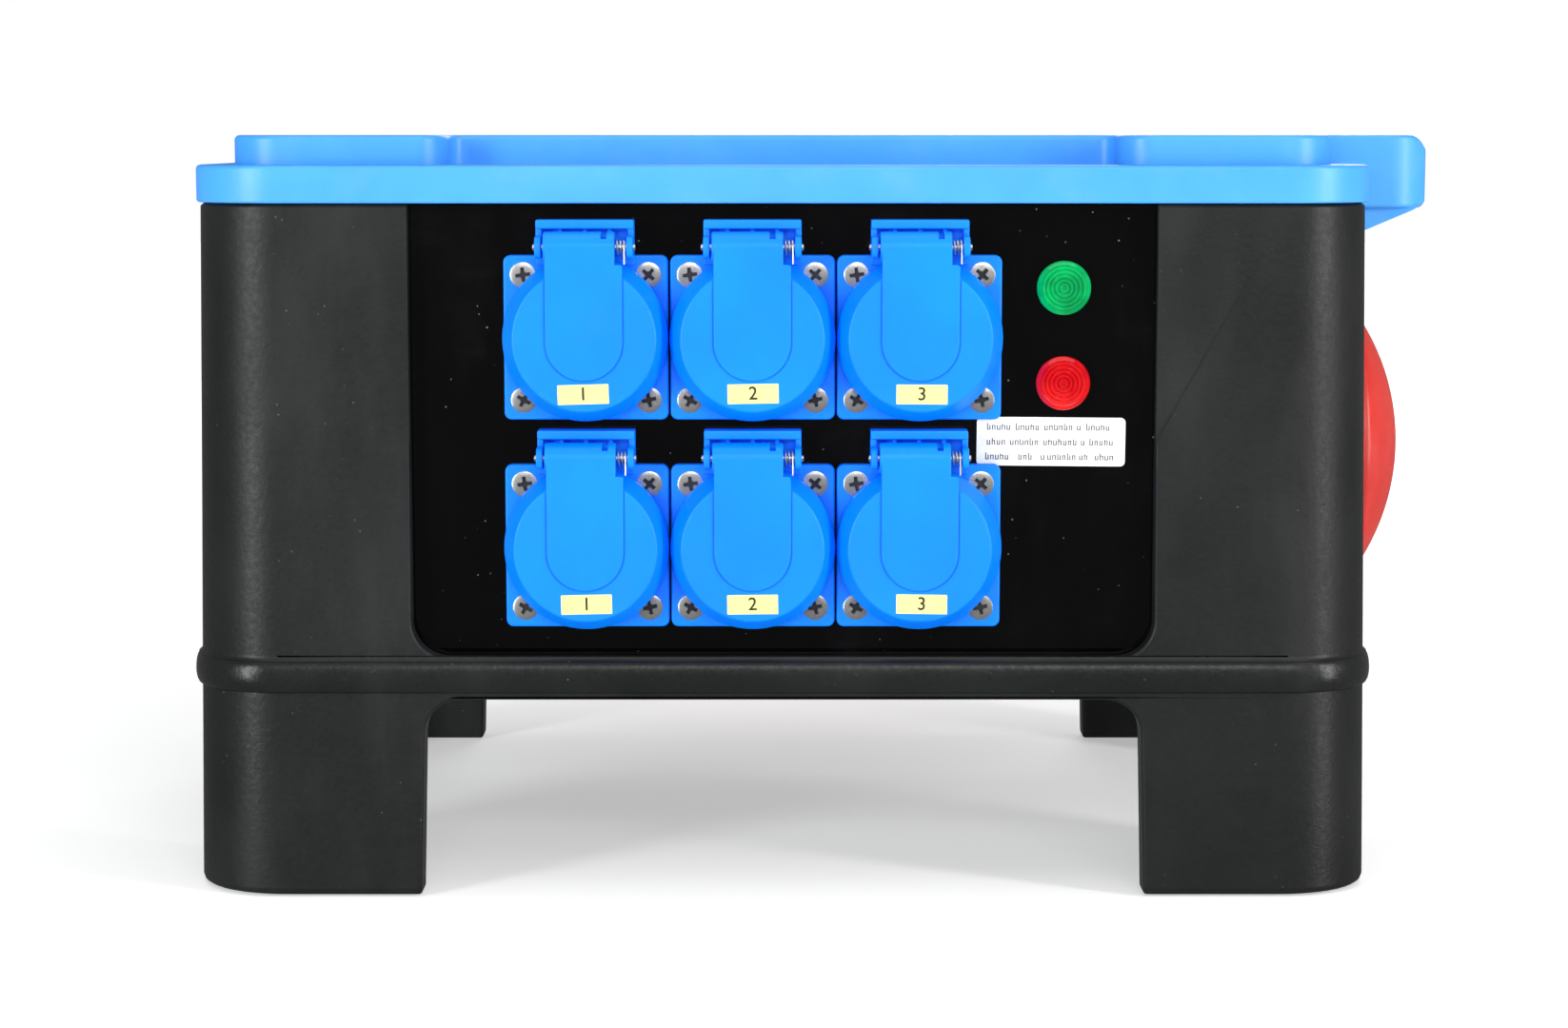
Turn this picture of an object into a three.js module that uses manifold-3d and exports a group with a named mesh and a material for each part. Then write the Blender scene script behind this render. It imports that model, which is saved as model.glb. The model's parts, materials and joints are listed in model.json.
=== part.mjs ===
// Portable power distribution box: a moulded body on four corner legs, a screwed lid with a side
// handle, four recessed panels, six sprung socket outlets, a five-pole outlet and inlet, two lamps
// and a window over the circuit breakers.
// Millimetres. X runs right, Y runs back, Z runs up; the socket side faces -Y.

import * as THREE from 'three';
import { mergeVertices } from 'three/addons/utils/BufferGeometryUtils.js';
import Module from 'manifold-3d';

const wasm = await Module();
wasm.setup();

// ---- Driving dimensions ----
const gap = 0.3; // between two pieces that rest on each other
const overcut = 1; // how far a cutting shape runs past the face that it opens
const roundSides = 20; // flats round a full turn of the larger round pieces

// body shell
const bodyWidth = 360;
const bodyDepth = 270;
const bodyTop = 212.2;
const cornerRadius = 27;
const wall = 5;
const flare = 2.9; // extra half width at the floor
const underside = 61;
const floorThickness = 5;
const beadHeight = 10;
const beadProjection = 1.8;
const beadStart = 63.2;
const sillHeight = 74;
const columnX = 66.5; // width of the corner columns on the front and rear faces
const columnY = 55; // width of the corner columns on the two ends
const openingRadius = 11.5;
const legWall = 13;
const frontLegWidth = 70.3;
const rearLegWidth = 65;
const sideLegWidth = 60;
const legTaper = 1.7; // how much wider each leg gap is at the floor
const legGapRadius = 11;

// panels
const panelThickness = 4;
const panelOverlapX = 10;
const panelOverlapY = 9;
const guideThickness = 4;
const guideGrip = 4.5;

// lid
const rimOverhang = 1.2;
const rimHeight = 11.5;
const ledgeWidth = 12;
const platformRise = 9;
const notchHalf = 103;
const notchDepth = 22;
const notchRadius = 11;
const lidSkin = 3.5;
const gasketWidth = 5;
const gasketHeight = 1.2;
const lidScrewInset = 21.6; // from the lid's outer sides to the screw axes
const postRadius = 7;
const screwHoleRadius = 2.2;
const screwHeadRadius = 4.6;
const screwHeadDepth = 8;

// carry handle, moulded on the lid
const handleReach = 29.4;
const handleLength = 122;
const handleGrip = 11;
const handleDrop = 3;
const handleTopRadius = 8;
const handleBottomRadius = 4;
const handlePlanRadius = 14;
const gussetThickness = 5;
const gussetDrop = 9.5;

// single-phase socket outlets
const socketColumns = 3;
const socketRows = 2;
const flangeBorder = 5.5; // from the well's wall to the flange's sides
const flangeThickness = 3;
const fixingInset = 6; // from the flange's sides to the screw axes
const socketSideMargin = 28.8; // from the panel opening's left edge to the first flange
const socketSillMargin = 9.2;
const flangeGap = 0.6;
const hingeRise = 10.8;
const rowGap = 2.9;
const wellRadius = 19.5;
const wellDepth = 17.5;
const collarWall = 1.8;
const collarRise = 1.9;
const socketDepth = 24;
const contactPitch = 19;
const contactRadius = 2.6;
const coverPlay = 1.8; // between the collar and the cover's skirt
const skirtWall = 2;
const coverHeight = 10.7;
const coverThickness = 2.1;
const tongueWidth = 23.3;
const tongueReach = 12.4; // from the socket's axis down to the tongue's round end
const socketPinRadius = 1;
const pinPlay = 0.3;

// five-pole outlet (right end) and inlet (rear)
const poleFlangeBorder = 6; // from the outlet's collar to the flange's sides
const poleFlangeThickness = 3.7;
const outletRise = 54.1; // from the sill to the outlet's axis
const outletBore = 30;
const outletWall = 4;
const outletDepth = 36;
const outletCollarRise = 11.5;
const shroudFloor = 4; // thickness of the floor at the back of each housing
const insertRoom = 8.5; // the ring round the insert that a plug's shroud enters
const insertDrop = 7; // from the outlet's rim back to the insert's face
const poleBorder = 8; // from the poles' axes out to the insert's side
const poleCount = 5;
const sleeveRadius = 3.4;
const sleeveDepth = 26;
const pinContactRadius = 3;
const earthExtra = 0.6; // how much wider the earth contact is
const outletCoverOverhang = 13; // from the collar out to the cover's edge
const outletCoverThickness = 2.5;
const outletCoverCrown = 15.9;
const outletSkirt = 9.1;
const polePinRadius = 1.6;
const inletBore = 27;
const inletWall = 3.5;
const inletLength = 40;
const inletDepth = 18;
const capWall = 2;
const capOverlap = 9;

// breaker window (left end)
const rcdModules = 4;
const breakerCount = 3;
const moduleWidth = 17.5;
const windowPlay = 0.25; // beside the row of devices
const windowHalfY = 37.5;
const windowBorderX = 9.5;
const windowBorderY = 12.5;
const windowRise = 66; // from the sill to the window's centre
const frameThickness = 4.2;
const neckWall = 2;
const doorThickness = 2.6;
const doorPinRadius = 0.8;
const toggleRadius = 4.5;
const buttonRadius = 3;

// lamps
const lensRadius = 8.2;
const lensHeight = 3.9;
const lampSpacing = 29;
const lampMargin = 18.9; // from the last flange to the lamps' axis
const lampAboveRow = 15; // from the top socket row's axis up to the upper lamp

// ---- Sizes that follow ----
const halfX = bodyWidth / 2;
const halfY = bodyDepth / 2;
const floorTop = underside + floorThickness;
const openingHalfX = halfX - columnX;
const openingHalfY = halfY - columnY;
const panelFace = wall + gap; // how far a panel's front lies behind the body's top edge
const panelBottom = floorTop + gap;
const panelTop = bodyTop - gap;
const lidBottom = bodyTop + gap;
const rimTop = lidBottom + rimHeight;
const lidTop = rimTop + platformRise;
const rimHalfX = halfX + rimOverhang;
const rimHalfY = halfY + rimOverhang;
const platformHalfX = rimHalfX - ledgeWidth;
const platformHalfY = rimHalfY - ledgeWidth;
const flangeSize = 2 * (wellRadius + flangeBorder);
const fixingPitch = flangeSize - 2 * fixingInset;
const flangeTop = gap + flangeThickness;
const outletOuter = outletBore + outletWall;
const outletCoverRadius = outletOuter + outletCoverOverhang;
const insertRadius = outletBore - insertRoom;
const poleCircle = insertRadius - poleBorder;
const poleFlange = 2 * (outletOuter + poleFlangeBorder);
const socketPitch = flangeSize + flangeGap;
const rowPitch = flangeSize + hingeRise + rowGap;
const collarRadius = wellRadius + collarWall;
const collarTop = flangeTop + collarRise;
const coverRadius = collarRadius + coverPlay + skirtWall;
const coverBottom = flangeTop + 0.8;
const coverFace = coverBottom + coverHeight;
const windowHalfX = ((rcdModules + breakerCount) * moduleWidth) / 2 + windowPlay;
const socketPin = { y: flangeSize / 2 + 2.6, z: coverFace - 4.1 };

// ---- Materials ----
const finishes = {
  shell: { color: 0x2e3032, roughness: 0.62, metalness: 0 },
  lid: { color: 0x2f8fe0, roughness: 0.42, metalness: 0 },
  panel: { color: 0x0b0c0e, roughness: 0.12, metalness: 0 },
  socket: { color: 0x0a55d8, roughness: 0.35, metalness: 0 },
  red: { color: 0xc41a1a, roughness: 0.35, metalness: 0 },
  insert: { color: 0x33363a, roughness: 0.55, metalness: 0 },
  steel: { color: 0xc9ccd0, roughness: 0.3, metalness: 1 },
  brass: { color: 0xc7a252, roughness: 0.32, metalness: 1 },
  rubber: { color: 0x17181a, roughness: 0.85, metalness: 0 },
  clear: { color: 0xbfc6cc, roughness: 0.1, metalness: 0 },
  device: { color: 0xe6e7e4, roughness: 0.5, metalness: 0 },
  toggle: { color: 0x1c1f24, roughness: 0.45, metalness: 0 },
  green: { color: 0x1fae4a, roughness: 0.15, metalness: 0 },
  lampRed: { color: 0xd02424, roughness: 0.15, metalness: 0 },
};

function piece(name, finish, geometry) {
  const mesh = new THREE.Mesh(geometry, new THREE.MeshStandardMaterial(finishes[finish]));
  mesh.name = name;
  return mesh;
}

// ---- Booleans ----
function toSolid(geometry) {
  const bare = geometry.clone();
  bare.deleteAttribute('normal');
  bare.deleteAttribute('uv');
  const merged = mergeVertices(bare);
  const index = merged.index.array;
  const triVerts = [];
  for (let i = 0; i < index.length; i += 3) {
    const [a, b, c] = index.slice(i, i + 3);
    const collapsed = a === b || b === c || c === a;
    if (!collapsed) triVerts.push(a, b, c);
  }
  const mesh = new wasm.Mesh({
    numProp: 3,
    vertProperties: Float32Array.from(merged.attributes.position.array),
    triVerts: Uint32Array.from(triVerts),
  });
  return new wasm.Manifold(mesh);
}

function toGeometry(solid) {
  const mesh = solid.getMesh();
  const geometry = new THREE.BufferGeometry();
  geometry.setAttribute('position', new THREE.BufferAttribute(mesh.vertProperties, 3));
  geometry.setIndex(new THREE.BufferAttribute(mesh.triVerts, 1));
  return geometry;
}

const join = (...parts) => toGeometry(parts.map(toSolid).reduce((whole, part) => whole.add(part)));
const cut = (base, ...tools) =>
  toGeometry(tools.map(toSolid).reduce((whole, tool) => whole.subtract(tool), toSolid(base)));
const overlap = (a, b) => toGeometry(toSolid(a).intersect(toSolid(b)));

// ---- Outlines and basic shapes ----

// A closed outline through [x, y, radius] corners; a corner with no radius stays sharp.
function outline(corners, arcSteps = 4) {
  const points = [];
  corners.forEach(([x, y, radius = 0], index) => {
    const corner = new THREE.Vector2(x, y);
    if (radius === 0) {
      points.push(corner);
      return;
    }
    const back = new THREE.Vector2(...corners.at(index - 1)).sub(corner).normalize();
    const ahead = new THREE.Vector2(...corners[(index + 1) % corners.length]).sub(corner).normalize();
    const halfAngle = Math.acos(back.dot(ahead)) / 2;
    const reach = radius / Math.tan(halfAngle);
    const centre = back.clone().add(ahead).setLength(radius / Math.sin(halfAngle)).add(corner);
    const start = back.multiplyScalar(reach).add(corner).sub(centre);
    const end = ahead.multiplyScalar(reach).add(corner).sub(centre);
    const turn = Math.atan2(start.cross(end), start.dot(end));
    for (let step = 0; step <= arcSteps; step += 1) {
      const spoke = start.clone().rotateAround(new THREE.Vector2(), (turn * step) / arcSteps);
      points.push(spoke.add(centre));
    }
  });
  return new THREE.Shape(points);
}

const rectangle = (x, y, radius = 0) => [
  [-x, -y, radius],
  [x, -y, radius],
  [x, y, radius],
  [-x, y, radius],
];

// A flat shape extruded between two heights.
function slab(shape, from, to) {
  const geometry = new THREE.ExtrudeGeometry(shape, { depth: to - from, bevelEnabled: false });
  return geometry.translate(0, 0, from);
}

// A shape drawn in X and Z, extruded along Y.
const alongY = (shape, from, to) => slab(shape, -to, -from).rotateX(Math.PI / 2);

// A shape drawn in Y and Z, extruded along X.
const alongX = (shape, from, to) => slab(shape, from, to).rotateX(Math.PI / 2).rotateZ(Math.PI / 2);

function block([x0, x1], [y0, y1], [z0, z1]) {
  const geometry = new THREE.BoxGeometry(x1 - x0, y1 - y0, z1 - z0);
  return geometry.translate((x0 + x1) / 2, (y0 + y1) / 2, (z0 + z1) / 2);
}

function rodZ(radius, [z0, z1], x = 0, y = 0, sides = 12) {
  const geometry = new THREE.CylinderGeometry(radius, radius, z1 - z0, sides);
  return geometry.rotateX(Math.PI / 2).translate(x, y, (z0 + z1) / 2);
}

function rodX(radius, [x0, x1], y = 0, z = 0, sides = 12) {
  const geometry = new THREE.CylinderGeometry(radius, radius, x1 - x0, sides);
  return geometry.rotateZ(Math.PI / 2).translate((x0 + x1) / 2, y, z);
}

// A solid turned about Z from [radius, height] points, running up the outside.
function turned(profile, sides = roundSides) {
  const points = profile.map(([radius, height]) => new THREE.Vector2(radius, height));
  return new THREE.LatheGeometry(points, sides).rotateX(Math.PI / 2);
}

// A rounded block whose sides stand out by a different amount at each [height, outset] level.
function flaredBlock(x, y, radius, levels, arcSteps) {
  const steps = levels.length - 1;
  const shape = outline(rectangle(x, y, radius), arcSteps);
  const geometry = new THREE.ExtrudeGeometry(shape, { depth: steps, steps, bevelEnabled: false });
  const position = geometry.attributes.position;
  for (let i = 0; i < position.count; i += 1) {
    const [height, outset] = levels[Math.round(position.getZ(i))];
    const grow = (radius + outset) / radius;
    const coreX = THREE.MathUtils.clamp(position.getX(i), radius - x, x - radius);
    const coreY = THREE.MathUtils.clamp(position.getY(i), radius - y, y - radius);
    const outX = coreX + (position.getX(i) - coreX) * grow;
    const outY = coreY + (position.getY(i) - coreY) * grow;
    position.setXYZ(i, outX, outY, height);
  }
  return geometry;
}

const signs = [-1, 1];
const corners = signs.flatMap((sideX) => signs.map((sideY) => [sideX, sideY]));

// ---- Body shell ----
const flareAt = (height) => flare * (1 - height / bodyTop);

function bodyLevels() {
  const beadEnd = beadStart + beadHeight;
  const soft = beadHeight / 8;
  return [
    [0, flareAt(0)],
    [beadStart, flareAt(beadStart)],
    [beadStart + soft, flareAt(beadStart) + beadProjection * 0.7],
    [(beadStart + beadEnd) / 2, flareAt(beadStart) + beadProjection],
    [beadEnd - soft, flareAt(beadEnd) + beadProjection * 0.7],
    [beadEnd, flareAt(beadEnd)],
    [bodyTop, 0],
  ];
}

// The gap between two legs: wider at the floor, round at its upper corners.
const legGap = (half) =>
  outline([
    [-half - legTaper, -overcut],
    [half + legTaper, -overcut],
    [half, underside, legGapRadius],
    [-half, underside, legGapRadius],
  ]);

// A panel opening, left open at the top where the lid closes it.
const panelOpening = (half) =>
  outline([
    [-half, bodyTop + overcut],
    [-half, sillHeight, openingRadius],
    [half, sillHeight, openingRadius],
    [half, bodyTop + overcut],
  ]);

const lidScrewX = rimHalfX - lidScrewInset;
const lidScrewY = rimHalfY - lidScrewInset;

// Two L-shaped guides that hold one panel against the wall; drawn for the front, then turned.
function panelGuides(panelHalf, wallFace) {
  const webEdge = panelHalf + gap;
  const webFar = webEdge + guideThickness;
  const lipFront = wallFace - gap - panelThickness - gap;
  const top = panelTop - 8;
  return signs.flatMap((side) => {
    const web = [side * webEdge, side * webFar].sort((a, b) => a - b);
    const lip = [side * (webEdge - guideGrip), side * webFar].sort((a, b) => a - b);
    return [
      block(web, [-wallFace - overcut, -lipFront + guideThickness], [floorTop - overcut, top]),
      block(lip, [-lipFront, -lipFront + guideThickness], [floorTop - overcut, top]),
    ];
  });
}

const panelHalfX = openingHalfX + panelOverlapX;
const panelHalfY = openingHalfY + panelOverlapY;

function bodyShell() {
  const reach = halfX + halfY;
  const shell = cut(
    flaredBlock(halfX, halfY, cornerRadius, bodyLevels(), 6),
    slab(outline(rectangle(halfX - wall, halfY - wall, cornerRadius - wall)), floorTop, bodyTop + overcut),
    slab(
      outline(rectangle(halfX + flare - legWall, halfY + flare - legWall, cornerRadius - legWall)),
      -overcut,
      underside,
    ),
    alongY(legGap(halfX - frontLegWidth), -reach, 0),
    alongY(legGap(halfX - rearLegWidth), 0, reach),
    alongX(legGap(halfY - sideLegWidth), -reach, reach),
    alongY(panelOpening(openingHalfX), -reach, reach),
    alongX(panelOpening(openingHalfY), -reach, reach),
  );
  const guides = [0, Math.PI].flatMap((turn) => [
    ...panelGuides(panelHalfX, halfY - wall).map((guide) => guide.rotateZ(turn)),
    ...panelGuides(panelHalfY, halfX - wall).map((guide) => guide.rotateZ(turn + Math.PI / 2)),
  ]);
  const posts = corners.flatMap(([sideX, sideY]) => {
    const webX = [sideX * lidScrewX, sideX * (halfX - wall / 2)].sort((a, b) => a - b);
    const webY = sideY * lidScrewY;
    return [
      rodZ(postRadius, [floorTop - overcut, bodyTop], sideX * lidScrewX, sideY * lidScrewY),
      block(webX, [webY - wall / 2, webY + wall / 2], [floorTop - overcut, bodyTop - wall]),
    ];
  });
  const screwHoles = corners.map(([sideX, sideY]) =>
    rodZ(screwHoleRadius, [bodyTop - 25, bodyTop + overcut], sideX * lidScrewX, sideY * lidScrewY, 8),
  );
  return cut(join(shell, ...guides, ...posts), ...screwHoles);
}

// ---- Lid ----

// The raised platform, set back along the front and rear between its two end blocks.
function platformOutline(inset) {
  const x = platformHalfX - inset;
  const y = platformHalfY - inset;
  const notchX = notchHalf + inset;
  const notchY = platformHalfY - notchDepth - inset;
  const round = 16 - inset;
  return outline([
    [-x, -y, round],
    [-notchX, -y, notchRadius],
    [-notchX, -notchY, notchRadius / 2],
    [notchX, -notchY, notchRadius / 2],
    [notchX, -y, notchRadius],
    [x, -y, round],
    [x, y, round],
    [notchX, y, notchRadius],
    [notchX, notchY, notchRadius / 2],
    [-notchX, notchY, notchRadius / 2],
    [-notchX, y, notchRadius],
    [-x, y, round],
  ]);
}

function gasketRing(from, to, slack) {
  const middleX = halfX - wall + gap;
  const middleY = halfY - wall + gap;
  const half = gasketWidth / 2 + slack;
  const radius = cornerRadius - wall;
  const ring = outline(rectangle(middleX + half, middleY + half, radius + half));
  ring.holes.push(outline(rectangle(middleX - half, middleY - half, radius - half)));
  return slab(ring, from, to);
}

function handleBlock() {
  const reachX = rimHalfX + handleReach;
  const bottom = lidBottom - handleDrop;
  const profile = outline([
    [platformHalfX - wall, lidTop],
    [platformHalfX - wall, lidBottom],
    [rimHalfX, lidBottom],
    [rimHalfX, bottom],
    [reachX, bottom, handleBottomRadius],
    [reachX, lidTop, handleTopRadius],
  ]);
  const half = handleLength / 2;
  const plan = outline([
    [0, -half],
    [reachX, -half, handlePlanRadius],
    [reachX, half, handlePlanRadius],
    [0, half],
  ]);
  return overlap(alongY(profile, -half, half), slab(plan, 0, lidTop + overcut));
}

function handleGussets() {
  const reachX = rimHalfX + handleReach;
  const bottom = lidBottom - handleDrop;
  const middle = handleLength / 2 - handleGrip / 2;
  const web = outline([
    [rimHalfX, bottom + overcut],
    [rimHalfX, bottom - gussetDrop],
    [rimHalfX + 3, bottom - gussetDrop],
    [reachX - handleBottomRadius, bottom],
    [reachX - handleBottomRadius, bottom + overcut],
  ]);
  return signs.map((side) =>
    alongY(web, side * middle - gussetThickness / 2, side * middle + gussetThickness / 2),
  );
}

function lid() {
  const gapHalf = handleLength / 2 - handleGrip;
  const gapFar = rimHalfX + handleReach - handleGrip;
  const headSeat = lidTop - screwHeadDepth;
  const hollow = cut(
    slab(platformOutline(4), lidBottom - overcut, lidTop - lidSkin),
    ...corners.map(([sideX, sideY]) =>
      rodZ(postRadius, [0, lidTop], sideX * lidScrewX, sideY * lidScrewY),
    ),
  );
  const cover = join(
    slab(outline(rectangle(rimHalfX, rimHalfY, cornerRadius + rimOverhang), 6), lidBottom, rimTop),
    slab(platformOutline(0), rimTop - overcut, lidTop),
    handleBlock(),
    ...handleGussets(),
  );
  return cut(
    cover,
    hollow,
    gasketRing(lidBottom - overcut, lidBottom + gasketHeight + gap, gap),
    block([rimHalfX, gapFar], [-gapHalf, gapHalf], [0, lidTop + overcut]),
    block([platformHalfX, gapFar], [-gapHalf, gapHalf], [rimTop, lidTop + overcut]),
    ...corners.flatMap(([sideX, sideY]) => [
      rodZ(screwHoleRadius, [0, lidTop + overcut], sideX * lidScrewX, sideY * lidScrewY, 8),
      rodZ(screwHeadRadius, [headSeat, lidTop + overcut], sideX * lidScrewX, sideY * lidScrewY),
    ]),
  );
}

// ---- Faces of the box: X right, Y up, Z out of the panel's front surface ----
const faces = {
  front: { turn: 0, out: halfY - panelFace },
  right: { turn: Math.PI / 2, out: halfX - panelFace },
  rear: { turn: Math.PI, out: halfY - panelFace },
  left: { turn: -Math.PI / 2, out: halfX - panelFace },
};

// Places pieces drawn on a face with their own origin at [x, height].
function onFace(face, [x, height], pieces) {
  const spot = new THREE.Group();
  spot.position.set(x, height, faces[face].out);
  spot.add(...pieces);
  const upright = new THREE.Group();
  upright.rotation.x = Math.PI / 2;
  upright.add(spot);
  const side = new THREE.Group();
  side.rotation.z = faces[face].turn;
  side.add(upright);
  return side;
}

// A panel plate with rectangular or round cut-outs, each [x, height, halfWidth, halfHeight].
function panel(half, cutouts, roundHoles = []) {
  const plate = block([-half, half], [panelBottom, panelTop], [-panelThickness, 0]);
  const tools = [
    ...cutouts.map(([x, height, wide, high]) =>
      block([x - wide, x + wide], [height - high, height + high], [-panelThickness - overcut, overcut]),
    ),
    ...roundHoles.map(([x, height, radius]) =>
      rodZ(radius, [-panelThickness - overcut, overcut], x, height, 12),
    ),
  ];
  return cut(plate, ...tools);
}

// ---- Places on the faces ----
const firstSocketX = socketSideMargin - openingHalfX + flangeSize / 2;
const firstSocketZ = sillHeight + socketSillMargin + flangeSize / 2;
const socketSpots = [];
for (let row = socketRows - 1; row >= 0; row -= 1) {
  for (let column = 0; column < socketColumns; column += 1) {
    socketSpots.push([firstSocketX + column * socketPitch, firstSocketZ + row * rowPitch]);
  }
}
const lampX = firstSocketX + (socketColumns - 1) * socketPitch + flangeSize / 2 + lampMargin;
const topRowZ = firstSocketZ + (socketRows - 1) * rowPitch;
const lampSpots = [
  [lampX, topRowZ + lampAboveRow],
  [lampX, topRowZ + lampAboveRow - lampSpacing],
];
const poleSpot = [0, sillHeight + outletRise];
const windowSpot = [0, sillHeight + windowRise];

// ---- Socket outlets ----
function countersunkHole(x, y, top, radius, headRadius) {
  const profile = [
    [0, -panelThickness],
    [radius, -panelThickness],
    [radius, top - headRadius + radius],
    [headRadius, top],
    [headRadius, top + overcut],
    [0, top + overcut],
  ];
  return turned(profile, 8).translate(x, y, 0);
}

const earHalf = 14.8;
const earThickness = 2;
const earRadius = 3.4;

function hingeEar(from, to, pin, radius, base) {
  const ear = outline([
    [pin.y - radius, base],
    [pin.y + radius, base],
    [pin.y + radius, pin.z + radius, radius - 0.1],
    [pin.y - radius, pin.z + radius, radius - 0.1],
  ]);
  return alongX(ear, from, to);
}

// Ears drawn in a face's own frame stand in Y and Z already.
function earPair(pin, half, thickness, radius, base) {
  const inner = half - thickness;
  return [hingeEar(-half, -inner, pin, radius, base), hingeEar(inner, half, pin, radius, base)];
}

function socketHousing() {
  const half = flangeSize / 2;
  const hingeTop = half + hingeRise;
  const wellFloor = collarTop - wellDepth;
  const body = join(
    slab(outline(rectangle(half, half, 2.2), 2), gap, flangeTop),
    block([-earHalf, earHalf], [half - overcut, hingeTop], [gap, flangeTop]),
    block([-earHalf, earHalf], [hingeTop - 2.9, hingeTop], [gap, 8]),
    ...earPair(socketPin, earHalf, earThickness, earRadius, flangeTop - overcut),
    rodZ(collarRadius, [-socketDepth, collarTop], 0, 0, roundSides),
  );
  const fixings = corners.map(([sideX, sideY]) =>
    countersunkHole((sideX * fixingPitch) / 2, (sideY * fixingPitch) / 2, flangeTop, 1.9, 3.9),
  );
  const contacts = signs.map((side) =>
    rodZ(contactRadius, [wellFloor - 9, wellFloor + overcut], (side * contactPitch) / 2, 0, 6),
  );
  return cut(
    body,
    rodZ(wellRadius, [wellFloor, collarTop + overcut], 0, 0, roundSides),
    rodX(socketPinRadius + pinPlay, [-half, half], socketPin.y, socketPin.z, 8),
    ...fixings,
    ...contacts,
  );
}

const barrelLeft = 12.2;
const barrelRight = 9.3;
const springRoom = 5.1; // how far the notch for the spring runs down the tongue

function socketCover() {
  const skirt = coverRadius - skirtWall;
  const innerFace = coverRadius - 5.2;
  const dome = turned([
    [0, coverFace - coverThickness],
    [innerFace, coverFace - coverThickness],
    [skirt, coverBottom + 3.3],
    [skirt, coverBottom],
    [coverRadius, coverBottom],
    [coverRadius, coverBottom + 4.1],
    [coverRadius - 1.4, coverBottom + 8.3],
    [coverRadius - 3.8, coverFace],
    [0, coverFace],
  ]);
  const tongueHalf = tongueWidth / 2;
  const tongue = outline([
    [-tongueHalf, socketPin.y],
    [-tongueHalf, -tongueReach, tongueHalf - 0.1],
    [tongueHalf, -tongueReach, tongueHalf - 0.1],
    [tongueHalf, socketPin.y - springRoom],
    [barrelRight, socketPin.y - springRoom],
    [barrelRight, socketPin.y],
  ]);
  const barrelRadius = coverFace + 0.6 - socketPin.z;
  const cover = join(
    dome,
    slab(tongue, coverFace - 1.9, coverFace + 0.6),
    rodX(barrelRadius, [-barrelLeft, barrelRight], socketPin.y, socketPin.z, 10),
  );
  const bore = rodX(socketPinRadius + pinPlay, [-flangeSize, flangeSize], socketPin.y, socketPin.z, 8);
  return cut(cover, bore);
}

// A torsion spring round a pin: a leg down to the plate, the coils, and a leg towards the cover.
class TorsionSpring extends THREE.Curve {
  constructor(pin, radius, [start, end], turns, leg) {
    super();
    Object.assign(this, { pin, radius, start, end, turns, leg });
  }

  getPoint(t) {
    const legShare = 0.12;
    const coil = THREE.MathUtils.clamp((t - legShare) / (1 - 2 * legShare), 0, 1);
    const angle = coil * this.turns * 2 * Math.PI;
    const point = new THREE.Vector3(
      THREE.MathUtils.lerp(this.start, this.end, coil),
      this.pin.y + this.radius * Math.cos(angle),
      this.pin.z + this.radius * Math.sin(angle),
    );
    point.z -= this.leg * Math.max(0, 1 - t / legShare);
    point.y -= this.leg * Math.max(0, (t - 1 + legShare) / legShare);
    return point;
  }
}

function torsionSpring(pin, pinRadius, span, leg, wire) {
  const radius = pinRadius + pinPlay + 0.4 + wire;
  const path = new TorsionSpring(pin, radius, [span[0] + wire, span[1] - wire], 2.25, leg);
  const section = outline(rectangle(wire * 0.8, wire * 0.8));
  return new THREE.ExtrudeGeometry(section, { steps: 18, bevelEnabled: false, extrudePath: path });
}

function socketOutlet(number, spot) {
  const name = `socket_${number}`;
  return onFace('front', spot, [
    piece(`${name}_housing`, 'socket', socketHousing()),
    piece(`${name}_cover`, 'socket', socketCover()),
    piece(`${name}_pin`, 'steel', rodX(socketPinRadius, [-15.5, 15.5], socketPin.y, socketPin.z, 10)),
    piece(`${name}_spring`, 'steel', torsionSpring(socketPin, socketPinRadius, [9.5, 12.6], 5, 0.35)),
  ]);
}

// ---- Five-pole outlet on the right end ----
const poleTop = gap + poleFlangeThickness;
const outletTop = poleTop + outletCollarRise;
const outletPin = { y: outletCoverRadius + 3.5, z: outletTop - 2 };
const poleEarHalf = 18;
const poleEarThickness = 4;
const poleEarRadius = 4.5;

function poleFlangePlate(opening) {
  const half = poleFlange / 2;
  const fixing = half - 7;
  return cut(
    slab(outline(rectangle(half, half, 6), 3), gap, poleTop),
    rodZ(opening, [0, poleTop + overcut], 0, 0, roundSides),
    ...corners.map(([sideX, sideY]) => countersunkHole(sideX * fixing, sideY * fixing, poleTop, 2.2, 4.2)),
  );
}

function outletHousing() {
  const half = poleFlange / 2;
  const hingeTop = outletPin.y + poleEarRadius;
  const plate = join(
    poleFlangePlate(outletOuter - overcut),
    block([-poleEarHalf, poleEarHalf], [half - overcut, hingeTop], [gap, poleTop]),
    ...earPair(outletPin, poleEarHalf, poleEarThickness, poleEarRadius, poleTop - overcut),
    rodZ(outletOuter, [-outletDepth, outletTop], 0, 0, roundSides),
  );
  return cut(
    plate,
    rodZ(outletBore, [shroudFloor - outletDepth, outletTop + overcut], 0, 0, roundSides),
    rodX(polePinRadius + pinPlay, [-half, half], outletPin.y, outletPin.z, 8),
  );
}

const poleAngle = (pole) => -Math.PI / 2 + (pole * 2 * Math.PI) / poleCount;
const poleX = (pole) => poleCircle * Math.cos(poleAngle(pole));
const poleY = (pole) => poleCircle * Math.sin(poleAngle(pole));
const poles = [...Array(poleCount).keys()];
const poleRadius = (pole, radius) => (pole === 0 ? radius + earthExtra : radius);

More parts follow.
